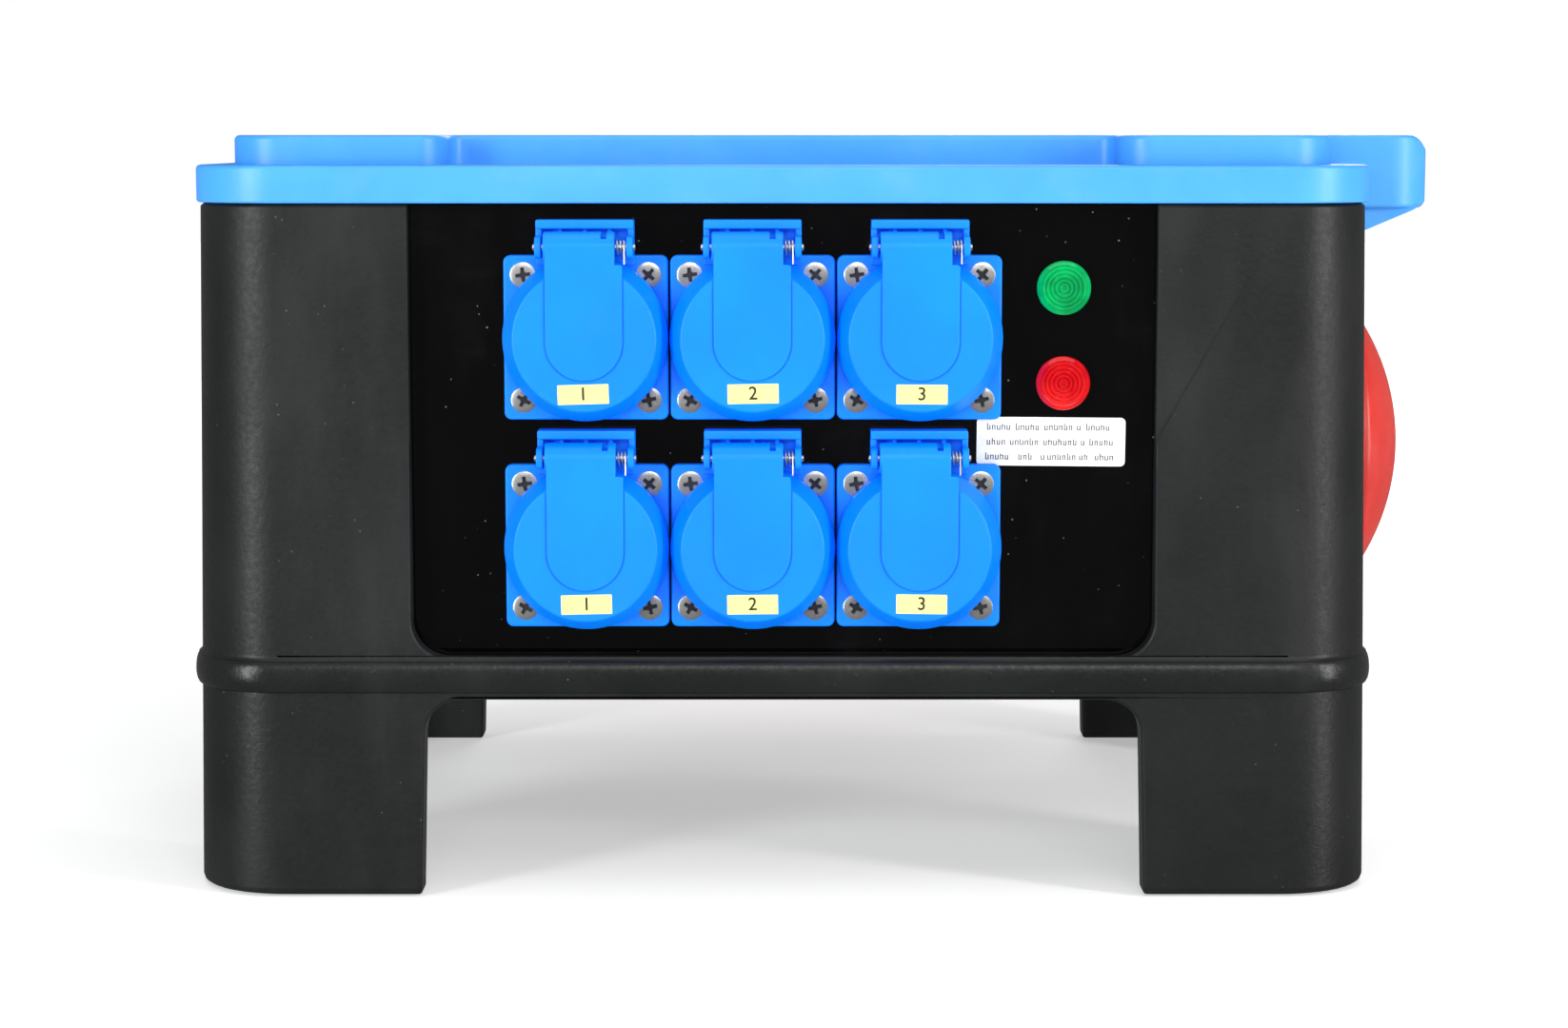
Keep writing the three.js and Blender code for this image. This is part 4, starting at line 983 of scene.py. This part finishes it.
def socket_cover():
    dome = turned([(0, FACE_OUT - 2.1), (19.9, FACE_OUT - 2.1), (21.9, 11.6), (23.1, 7.4), (23.1, 4.1),
                   (24.7, 4.1), (COVER, 4.5), (COVER, 7.6), (24.95, 8.3), (22.0, 14.2), (21.55, 14.68),
                   (21.1, FACE_OUT), (0, FACE_OUT)], 96)
    tongue = [(-TONGUE, PIN_Y, 0), (-TONGUE, -12.4, 11.6), (TONGUE, -12.4, 11.6), (TONGUE, 22.5, 0.9),
              (9.3, 22.5, 0), (9.3, PIN_Y, 0)]
    raised = slab(tongue, FACE_OUT - 1.9, FACE_OUT + 0.6, 20)
    soften(raised, 0.4, steps=3, where=upper_edges(FACE_OUT + 0.6))
    groove_path = [(-TONGUE - 0.35, 21.4, 0), (-TONGUE - 0.35, -12.75, 11.95), (TONGUE + 0.35, -12.75, 11.95),
                   (TONGUE + 0.35, 21.4, 0)]
    groove = slab(groove_path, FACE_OUT - 0.22, FACE_OUT + 2, 20)
    barrel = rod_x(4.7, -12.2, 9.3, PIN_Y, PIN_OUT, steps=40, soft=0.45)
    cover = join(cut(dome, groove), raised, barrel)
    bore = rod_x(PIN_HOLE, -20, 20, PIN_Y, PIN_OUT, steps=20)
    slot = box((5.2, 7.0), (PIN_Y + 2.6, PIN_Y + 6), (PIN_OUT - 6, PIN_OUT + 6))
    return cut(cover, bore, slot)


def cover_seal():
    """A soft lip inside the cover that meets the collar's rim."""
    return turned([(18.6, 12.75), (18.6, 12.0), (19.7, 11.4), (19.9, 6.1), (20.4, 5.5), (20.9, 6.1),
                   (20.7, 11.4), (21.0, 12.75)], 72)


# %% Springs, pins and earth clips
def spring(start, end, radius, wire, turns, leg_down, leg_back, pin_y, pin_out):
    """A torsion spring round a pin: a leg down, the coils, and a leg back to the cover."""
    bm = bmesh.new()
    bmesh.ops.create_circle(bm, cap_ends=True, segments=10, radius=wire)
    bmesh.ops.translate(bm, vec=(start + wire, pin_y + radius, pin_out), verts=bm.verts)
    section = bm.verts[:] + bm.edges[:] + bm.faces[:]
    steps = int(turns * 20)
    pitch = (end - start - 2 * wire) / steps
    made = bmesh.ops.spin(bm, geom=section, cent=(0, pin_y, pin_out), axis=(1, 0, 0), dvec=(pitch, 0, 0),
                          angle=turns * 2 * math.pi, steps=steps)
    last = only(bmesh.types.BMFace, made["geom_last"])
    bmesh.ops.holes_fill(bm, edges=bm.edges, sides=12)
    first = [face for face in bm.faces if len(face.verts) == 10 and face not in last]
    for faces, way in ((last, (0, -leg_back, 0)), (first, (0, 0, -leg_down))):
        pushed = bmesh.ops.extrude_face_region(bm, geom=faces)["geom"]
        bmesh.ops.delete(bm, geom=faces, context="FACES_ONLY")
        bmesh.ops.translate(bm, vec=way, verts=only(bmesh.types.BMVert, pushed))
    bmesh.ops.recalc_face_normals(bm, faces=bm.faces)
    return bm


def earth_clips():
    """Two bent strips at the top and bottom of the well, which a plug's side contacts slide past."""
    clips = []
    for side in (-1, 1):
        strip = [(side * 19.2, 4.0, 0), (side * 18.4, 4.0, 0), (side * 17.2, 0.5, 1.2),
                 (side * 18.3, -4.5, 1.2), (side * 18.3, -11.5, 0), (side * 19.2, -11.5, 0),
                 (side * 19.2, -4.6, 1.2), (side * 18.1, 0.6, 1.2)]
        clips.append(along_x(outline(strip, 4), -2, 2))
    return merged(clips)


def contact_tubes(places, outer, inner, low, high):
    tubes = [moved(turned([(inner, low), (outer, low), (outer, high), (inner, high)], 28), x, y) for x,
             y in places]
    return merged(tubes)


# %% Place the six socket outlets
def socket_place(number):
    low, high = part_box(f"socket_{number}_housing")
    x = ((low.x + high.x) / 2 - body_middle.x) / MM
    return face_place("front", x, low.z / MM + FLANGE)


designs = {
    "housing_fine": (socket_housing(), "socket"),
    "cover_fine": (socket_cover(), "socket"),
    "cover_seal": (cover_seal(), "rubber"),
    "pin_fine": (rod_x(1.0, -15.5, 15.5, PIN_Y, PIN_OUT, steps=24, soft=0.35), "steel"),
    "spring_fine": (spring(9.5, 12.6, 2.05, 0.35, 2.25, 5, 5, PIN_Y, PIN_OUT), "steel"),
    "earth_clips": (earth_clips(), "nickel"),
    "contacts": (contact_tubes(CONTACTS, 2.4, 1.9, WELL_FLOOR - 8.5, WELL_FLOOR - 0.8), "nickel"),
    "screws": (screw_set(countersunk_head(3.9, 1.9), FIXINGS, FLANGE_TOP - 0.02), "steel"),
    # the dark crosses in the screw recesses are dust and painted shade
    "screw_dust_and_shade": (screw_set(recess_dust_and_shade(3.9, 0.24), FIXINGS, FLANGE_TOP - 0.02), "toggle"),
}
for part, (design, look) in designs.items():
    for number, item in enumerate(copies(design, 6), start=1):
        rides = f"socket_cover_{number}" if part.startswith("cover") else "enclosure"
        finish(item, f"socket_{number}_{part}", socket_place(number), look, rides)
print("socket outlets done:", len(pieces), "pieces so far")

# %% [markdown]
# ## Number stickers, the lamp label and the lamps
# Each cover carries a small yellow sticker with its number, put on by hand and so never quite straight. The
# white label by the lamps has three rows of print, shown as rows of plain marks the length of its words. The
# lamp lenses are turned with fine rings that catch the light.

# %% Stickers with their numbers
def digit(text, size, low, high):
    """A printed figure as a thin solid, centred on the origin."""
    curve = bpy.data.curves.new("figure", "FONT")
    curve.body = text
    curve.size = size
    curve.align_x = "CENTER"
    curve.align_y = "CENTER"
    curve.resolution_u = 6
    curve.offset = size * 0.012 # thickens the strokes
    thing = new_object("figure", curve)
    graph = bpy.context.evaluated_depsgraph_get()
    bm = bmesh.new()
    bm.from_mesh(thing.evaluated_get(graph).to_mesh())
    bpy.data.objects.remove(thing)
    bpy.data.curves.remove(curve)
    bmesh.ops.remove_doubles(bm, verts=bm.verts, dist=1e-4)
    return push_out(bm, low, high)


STICKER_TILT = [1.6, 0.9, -0.4, 1.2, 0.6, -0.8]
STICKER_SHIFT = [(-0.3, -16.4), (0.2, -16.2), (0.4, -16.4), (0.3, -16.5), (0.0, -16.5), (0.6, -16.4)]
for number, (tilt, (x, y)) in enumerate(zip(STICKER_TILT, STICKER_SHIFT), start=1):
    label, rides = str((number - 1) % 3 + 1), f"socket_cover_{number}"
    spot = socket_place(number) @ Matrix.Translation((x, y, FACE_OUT)) @ Matrix.Rotation(math.radians(tilt),
                                                                                         4, "Z")
    paper = slab(rectangle(7.7, 2.95, 0.25), 0.02, 0.14, 3)
    finish(paper, f"socket_{number}_sticker", spot, "sticker", rides)
    finish(digit(label, 5.6, 0.145, 0.19), f"socket_{number}_figure", spot, "ink", rides)


# %% Lamp label
LABEL_ROWS = [(4.5, [(-19.6, 5), (-10.8, 5), (-2.1, 6), (7.9, 1), (10.7, 5)]),
              (-0.1, [(-19.6, 4), (-12.5, 6), (-2.3, 7), (9.2, 1), (11.8, 5)]),
              (-4.6, [(-20.0, 5), (-9.9, 3), (-3.0, 1), (-1.0, 6), (8.7, 2), (13.5, 4)])]
LETTER_RISE = [2.1, 1.45, 1.45, 1.8, 1.45] # heights of the first strokes of the marks, in turn


def label_print():
    """Rows of plain marks, each two upright strokes and a bridge, spaced as the letters of a word."""
    strokes, skin = [], (0.16, 0.2)
    for y, words in LABEL_ROWS:
        for start, letters in words:
            for index in range(letters):
                x, rise = start + index * 1.5, LETTER_RISE[(index + letters) % len(LETTER_RISE)]
                bridge = y + (0.2 if index % 2 else -1.0)
                strokes.append(box((x, x + 0.3), (y - 1.0, y - 1.0 + rise), skin))
                strokes.append(box((x + 0.75, x + 1.05), (y - 1.0, y + 0.45), skin))
                strokes.append(box((x + 0.32, x + 0.73), (bridge, bridge + 0.24), skin))
    return merged(strokes)


label_place = face_place("front", 82.0, 139.9) @ Matrix.Rotation(math.radians(-0.5), 4, "Z")
finish(slab(rectangle(22.7, 7.45, 1.5), 0.03, 0.15, 6), "lamp_label", label_place, "paper")
finish(label_print(), "lamp_label_print", label_place, "ink")


# %% Lamp lenses
LENS = 8.2


def lamp_lens():
    profile = [(0, -3.8), (5.2, -3.8), (5.2, 0.3), (LENS, 0.3), (LENS, 1.9), (7.7, 2.5), (7.2, 2.7)]
    for ring in range(5):
        outer = 6.9 - ring * 1.3
        profile += [(outer, 3.05), (outer - 0.3, 3.5), (outer - 0.65, 3.62), (outer - 1.0, 3.5),
                    (outer - 1.15, 3.1)]
    return turned(profile + [(0, 3.1)], 64)


for colour, look in (("green", "green"), ("red", "lamp_red")):
    spot = middle(f"lamp_{colour}_lens")
    place = face_place("front", (spot.x - body_middle.x) / MM, spot.z / MM)
    finish(lamp_lens(), f"lamp_{colour}_lens_fine", place, look)
print("labels and lamps done")

# %% [markdown]
# ## Five-pole outlet and inlet
# The outlet is a flanged collar with a keyway, a dark insert with five contact sleeves and a large domed
# cover on a sprung hinge. The inlet on the rear is a longer shroud round five pins, with a flat cap.

# %% Outlet shapes
POLE_FLANGE = 40
POLE_TOP = 4
OUTLET_TOP = 15.5
OUTLET = 34
OUTLET_BORE = 30
OUTLET_PIN = (50.5, 13.5)
POLE_FIXINGS = [(x, y) for x in (-33, 33) for y in (-33, 33)]
POLE_CIRCLE = 13.5
POLE_PIN_HOLE = 1.9
POLE_ANGLES = [math.radians(-90 + 72 * pole) for pole in range(5)]
POLES = [(POLE_CIRCLE * math.cos(angle), POLE_CIRCLE * math.sin(angle)) for angle in POLE_ANGLES]


def pole_flange(*parts):
    flange = slab(rectangle(POLE_FLANGE, POLE_FLANGE, 6), 0.3, POLE_TOP, 8, soft=0.9,
                  where=upper_edges(POLE_TOP))
    sinks = [countersink(x, y, POLE_TOP, 2.2, 4.25) for x, y in POLE_FIXINGS]
    return cut(join(flange, *parts), *sinks)


def pole_screws():
    return screw_set(countersunk_head(4.2, 2.2), POLE_FIXINGS, POLE_TOP - 0.02)


def outlet_housing():
    pin_y, pin_out = OUTLET_PIN
    block = box((-18, 18), (36, 55), (0.3, POLE_TOP + 0.4), soft=0.6)
    ears = [ear(46, 55, 2, 18, 3.8, low, low + 4, soft=0.7) for low in (-18, 14)]
    collar = turned([(0, -36), (OUTLET - 1, -36), (OUTLET, -35), (OUTLET, 8.8), (OUTLET + 0.8, 9.6),
                     (OUTLET + 0.8, 11.2), (OUTLET, 12), (OUTLET, OUTLET_TOP - 0.8),
                     *arc((OUTLET - 0.8, OUTLET_TOP - 0.8), 0.8, 0, 90, 4), (0, OUTLET_TOP)], 96)
    bore = turned([(0, -32), (OUTLET_BORE, -32), (OUTLET_BORE, OUTLET_TOP - 0.6),
                   (OUTLET_BORE + 0.8, OUTLET_TOP + 0.2), (0, OUTLET_TOP + 0.2)], 96)
    keyway = box((-3.2, 3.2), (-32.3, -28), (-20, OUTLET_TOP + 1), soft=0.5)
    pin = rod_x(POLE_PIN_HOLE, -20, 20, pin_y, pin_out, steps=24)
    return cut(pole_flange(block, *ears, collar), bore, keyway, pin)


def outlet_insert():
    disc = turned([(0, -31.7), (21.2, -31.7), (21.5, -31.4), (21.5, 7.9), *arc((20.9, 7.9), 0.6, 0, 90, 3),
                   (19.4, 8.5), (19.1, 8.1), (0, 8.1)], 72)
    sleeves = [rod_z(4.0 if pole == 0 else 3.4, -17.5, 9.5, x, y, steps=32) for pole,
               (x, y) in enumerate(POLES)]
    return cut(disc, *sleeves)


def outlet_cover():
    pin_y, pin_out = OUTLET_PIN
    rim, crown, skirt_low, skirt_high, thick = 47, 15.9, 11.0, 20.1, 2.5
    ball = (rim ** 2 + crown ** 2) / (2 * crown)
    centre = skirt_high + crown - ball
    outer = [(radius, centre + math.sqrt(ball ** 2 - radius ** 2)) for radius in range(46, 0, -3)]
    inner = [(radius, centre + math.sqrt((ball - thick) ** 2 - radius ** 2)) for radius in range(1, 44, 3)]
    edge = [(rim - thick, skirt_high - 1), (rim - thick, skirt_low + 0.3), (rim - thick + 0.4, skirt_low),
            (rim - 0.5, skirt_low), (rim, skirt_low + 0.5), (rim, skirt_high - 1.2),
            (rim - 0.25, skirt_high - 0.2)]
    dome = turned([(0, centre + ball - thick), *inner, *edge, *outer, (0, centre + ball)], 128)
    barrel = rod_x(4.4, -13.7, 8, pin_y, pin_out, steps=40, soft=0.6)
    arm = box((-13.7, 8), (38, pin_y), (pin_out, pin_out + 4), soft=0.8)
    return cut(join(dome, arm, barrel), rod_x(POLE_PIN_HOLE, -60, 60, pin_y, pin_out, steps=24))


# %% Place the outlet
def pole_place(face, node):
    return face_place(face, 0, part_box(node)[0].z / MM + POLE_FLANGE)


outlet_place = pole_place("right", "outlet_housing")
outlet_seal = turned([(38.6, 21.2), (38.6, 14.9), (39.4, 14.2), (41.4, 14.2), (42.2, 14.9), (42.2, 20.0)], 96)
finish(outlet_housing(), "outlet_housing_fine", outlet_place, "red")
finish(outlet_insert(), "outlet_insert_fine", outlet_place, "grey")
finish(contact_tubes(POLES, 3.1, 2.5, -17.2, 6.4), "outlet_contacts", outlet_place, "nickel")
finish(outlet_cover(), "outlet_cover_fine", outlet_place, "red", "outlet_lid")
finish(outlet_seal, "outlet_cover_seal", outlet_place, "rubber", "outlet_lid")
finish(rod_x(1.6, -19, 19, *OUTLET_PIN, steps=28, soft=0.5), "outlet_pin_fine", outlet_place, "steel")
finish(spring(8.5, 13.5, 2.8, 0.5, 2.25, 2.6, 2.6, *OUTLET_PIN), "outlet_spring_fine", outlet_place, "steel")
finish(pole_screws(), "outlet_screws", outlet_place, "steel")
print("outlet done")

# %% Inlet shapes
INLET = 30.5
INLET_BORE = 27
CAP_LOW = 31
CAP_FACE = 42.5
INLET_PIN = (37.7, CAP_LOW + 1.5)


def inlet_housing():
    pin_y, pin_out = INLET_PIN
    lugs = []
    for low_x in (-13, 9):
        profile = [(28, 17, 0), (pin_y + 4, 25, 2), (pin_y + 4, pin_out + 4, 3.4),
                   (pin_y - 4, pin_out + 4, 3.4), (pin_y - 4, 29, 0.8), (28, 29, 0)]
        lugs.append(soften(along_x(outline(profile, 6), low_x, low_x + 4), 0.5, steps=2, sharper_than=50))
    shroud = turned([(0, -18), (INLET - 1, -18), (INLET, -17), (INLET, 39.4), *arc((29.9, 39.4), 0.6, 0, 90, 3),
                     (0, 40)], 96)
    bore = turned([(0, -14), (INLET_BORE, -14), (INLET_BORE, 39.2), (INLET_BORE + 1, 40.2), (0, 40.2)], 96)
    keyway = box((-2.6, 2.6), (-28.6, -25), (-6, 41), soft=0.5)
    return cut(pole_flange(*lugs, shroud), bore, keyway,
               rod_x(POLE_PIN_HOLE, -60, 60, pin_y, pin_out, steps=24))


def inlet_base():
    disc = turned([(0, -13.7), (26.4, -13.7), (26.4, -6.3), (25.8, -5.7), (22.5, -5.7), (22.2, -6.0),
                   (0, -6.0)], 72)
    bosses = [moved(turned([(0, -8), (5.2, -8), (5.2, -5.2), (4.8, -4.8), (0, -4.8)], 32), x, y) for x,
              y in POLES]
    return join(disc, *bosses)


def inlet_pins():
    pins = []
    for pole, (x, y) in enumerate(POLES):
        radius = 3.5 if pole == 0 else 3.0
        tip = arc((radius - 1.4, 31.6), 1.4, 0, 90, 5)
        slot = box((x - 4, x + 4), (y - 0.25, y + 0.25), (20, 34))
        pins.append(cut(moved(turned([(0, -6), (radius, -6), *tip, (0, 33)], 32), x, y), slot))
    return merged(pins)


def inlet_cap():
    pin_y, pin_out = INLET_PIN
    inner, outer = 31.1, 33.1
    shell = turned([(0, CAP_FACE - 2), (inner - 0.4, CAP_FACE - 2), (inner, CAP_FACE - 2.4),
                    (inner, CAP_LOW + 0.4), (inner + 0.4, CAP_LOW), (outer - 0.4, CAP_LOW),
                    (outer, CAP_LOW + 0.4), (outer, CAP_FACE - 1.5),
                    *arc((outer - 1.5, CAP_FACE - 1.5), 1.5, 0, 90, 5), (25.0, CAP_FACE),
                    (24.4, CAP_FACE - 0.5), (23.4, CAP_FACE - 0.5), (22.8, CAP_FACE), (0, CAP_FACE)], 96)
    arm = box((-8.7, 4), (outer - 1, pin_y), (pin_out - 2, pin_out + 2), soft=0.4)
    barrel = rod_x(3.6, -8.7, 4, pin_y, pin_out, steps=36, soft=0.5)
    return cut(join(shell, arm, barrel), rod_x(POLE_PIN_HOLE, -60, 60, pin_y, pin_out, steps=24))


# %% Place the inlet
inlet_place = pole_place("rear", "inlet_housing")
cap_seal = turned([(26.9, 40.5), (26.9, 40.15), (27.6, 40.05), (29.9, 40.05), (30.6, 40.15), (30.6, 40.5)], 72)
finish(inlet_housing(), "inlet_housing_fine", inlet_place, "red")
finish(inlet_base(), "inlet_base_fine", inlet_place, "grey", replaced="inlet_insert")
finish(inlet_pins(), "inlet_contact_pins", inlet_place, "nickel")
finish(inlet_cap(), "inlet_cap_fine", inlet_place, "red", "inlet_lid")
finish(cap_seal, "inlet_cap_seal", inlet_place, "rubber", "inlet_lid")
finish(rod_x(1.6, -14, 14, *INLET_PIN, steps=28, soft=0.5), "inlet_pin_fine", inlet_place, "steel")
finish(spring(4.5, 8.5, 2.8, 0.5, 2.25, 4, 4, *INLET_PIN), "inlet_spring_fine", inlet_place, "steel")
finish(pole_screws(), "inlet_screws", inlet_place, "steel")
print("inlet done")

# %% [markdown]
# ## Breaker window
# Behind a clear hinged door a row of rail-mounted devices shows its noses: a wide residual-current device
# with a test button and three narrow breakers. Each has stepped shoulders with terminal screws, a slot for
# its toggle, a printed band and a small window that shows its state.

# %% Window frame and door
WINDOW_X = 61.5
WINDOW_Y = 37.5
DOOR_PIN = (34.5, 2.3)
NOSE = -8
SHOULDER = -22
DEVICE_BACK = -67
MODULE_WIDTH = 17.5
TOGGLE_OUT = NOSE - 4.5


def window_frame():
    flange = slab(rectangle(71, 50, 8), 0.3, 4.5, 10, soft=1.1, where=upper_edges(4.5))
    neck = box((-63.5, 63.5), (-39.5, 39.5), (NOSE, 1.3))
    opening = box((-WINDOW_X, WINDOW_X), (-WINDOW_Y, WINDOW_Y), (NOSE - 1, 6))
    frame = cut(join(flange, neck), opening)
    soften(frame, 0.5, steps=2, where=lambda edge: all(
        abs(vert.co.z - 4.5) < 0.05 and abs(vert.co.x) < 62 and abs(vert.co.y) < 38 for vert in edge.verts))
    arms = [box((side * 62.5 - 1, side * 62.5 + 1), (-15, 15), (-72, NOSE + 1), soft=0.4) for side in (-1, 1)]
    pin_y, pin_out = DOOR_PIN
    return cut(join(frame, *arms), rod_x(1.1, -66.3, 66.3, pin_y, pin_out, steps=20))


def window_door():
    pin_y, pin_out = DOOR_PIN
    plate = slab([(-60.5, -36.5, 3), (60.5, -36.5, 3), (60.5, pin_y, 0), (-60.5, pin_y, 0)], pin_out - 1.3,
                 pin_out + 1.3, 8, soft=0.4)
    barrels = [rod_x(1.9, start, start + 24, pin_y, pin_out, steps=28, soft=0.3)
               for start in (-60.8, -12, 36.8)]
    pull = box((-12, 12), (-36, -33), (pin_out, pin_out + 2.6), soft=0.5)
    ridges = [box((-48, 48), (y - 0.35, y + 0.35), (pin_out + 0.9, pin_out + 1.6), soft=0.15)
              for y in (-29, 27)]
    return cut(join(plate, *barrels, pull, *ridges), rod_x(1.1, -70, 70, pin_y, pin_out, steps=20))


# %% Rail-mounted devices
def device_body(modules, slot_x, slot_width, screws, extra=()):
    """Stepped shoulders and a nose, with a toggle slot, terminal holes and a state window."""
    half = modules * MODULE_WIDTH / 2 - 0.2
    profile = [(-41, DEVICE_BACK, 0), (-17.9, DEVICE_BACK, 0), (-17.9, -64, 0), (17.9, -64, 0),
               (17.9, DEVICE_BACK, 0), (41, DEVICE_BACK, 0), (41, SHOULDER, 2), (22.5, SHOULDER, 0),
               (22.5, NOSE, 2), (-22.5, NOSE, 2), (-22.5, SHOULDER, 0), (-41, SHOULDER, 2)]
    body = soften(along_x(outline(profile, 5), -half, half), 0.5, steps=2, sharper_than=60)
    slot = box((slot_x - slot_width / 2 - 0.4, slot_x + slot_width / 2 + 0.4), (-6.2, 6.2), (-17.5, NOSE + 1))
    holes = [rod_z(2.7, SHOULDER - 5, SHOULDER + 1, x, side * 34, steps=24) for x in screws for side in (-1, 1)]
    state = box((slot_x - 2.6, slot_x + 2.6), (-13.6, -10.4), (NOSE - 0.5, NOSE + 1))
    return cut(body, slot, *holes, state, *extra)


def toggle(width):
    hub = rod_x(4.5, -width / 2, width / 2, steps=40, soft=0.4)
    return join(hub, rotate(box((-width / 2, width / 2), (-1.7, 1.7), (0, 11), soft=0.6), -35, "X"))


def terminal_screws(places):
    head = cut(rod_z(2.3, -1.4, 0, steps=24, soft=0.2), *cross_recess(2.2, 0))
    return merged(moved(item, x, y, SHOULDER - 3) for item, (x, y) in zip(copies(head, len(places)), places))


# %% Place the window and its devices
window_place = face_place("left", 0, middle("window_frame").z / MM)


def device_place(x):
    return window_place @ Matrix.Translation((x, 0, 0))


finish(window_frame(), "window_frame_fine", window_place, "grey")
finish(window_door(), "window_door_fine", window_place, "clear", "door")
finish(rod_x(0.8, -65.9, 65.9, *DOOR_PIN, steps=20, soft=0.25), "window_door_pin_fine", window_place, "steel")

RCD_X = -26.25
RCD_SCREWS = (-26, -9, 9, 26)
DEVICES = [("rcd", RCD_X, 20, 44)] # name, place along the rail, toggle's place and width of print
DEVICES += [(f"breaker_{number}", number * MODULE_WIDTH, 0, 12) for number in (1, 2, 3)]
rcd_place = device_place(RCD_X)
button_bore = rod_z(3.4, NOSE - 7.2, NOSE + 1, -20, 8, steps=32)
finish(device_body(4, 20, 12, RCD_SCREWS, [button_bore]), "rcd_body_fine", rcd_place, "device")
finish(moved(toggle(12), 20, 0, TOGGLE_OUT), "rcd_toggle_fine", rcd_place, "toggle", "rcd_lever")
finish(rod_z(3, NOSE - 5, NOSE + 2, -20, 8, steps=36, soft=0.5), "rcd_test_button_fine", rcd_place, "toggle",
       "test_button")
finish(terminal_screws([(x, y) for x in RCD_SCREWS for y in (-34, 34)]), "rcd_terminal_screws", rcd_place,
       "steel")
for number, (name, x, _, _) in enumerate(DEVICES[1:], start=1):
    finish(device_body(1, 0, 8, (0,)), f"{name}_body_fine", device_place(x), "device")
    finish(moved(toggle(8), 0, 0, TOGGLE_OUT), f"{name}_toggle_fine", device_place(x), "toggle",
           f"breaker_lever_{number}")
    finish(terminal_screws([(0, -34), (0, 34)]), f"{name}_terminal_screws", device_place(x), "steel")


# %% Printed bands and state windows
def device_print(width, slot_x):
    """A thin band of print: a rule across the nose and short lines under it."""
    skin = (NOSE + 0.02, NOSE + 0.06)
    lines = [box((-width / 2, width / 2), (17.2, 18.6), skin)]
    lines += [box((-width / 2, width / 2 - 2.5 * row), (14.6 - row * 1.9, 15.2 - row * 1.9), skin)
              for row in range(2)]
    lines.append(box((slot_x - 0.4, slot_x + 0.4), (-20, -16), skin))
    return merged(lines)


for name, x, slot_x, width in DEVICES:
    finish(device_print(width, slot_x), f"{name}_print", device_place(x), "ink")
    flag = box((slot_x - 2.5, slot_x + 2.5), (-13.5, -10.5), (NOSE - 0.45, NOSE - 0.1), soft=0.1)
    finish(flag, f"{name}_state_flag", device_place(x), "ink_red")
print("window done:", len(pieces), "pieces")
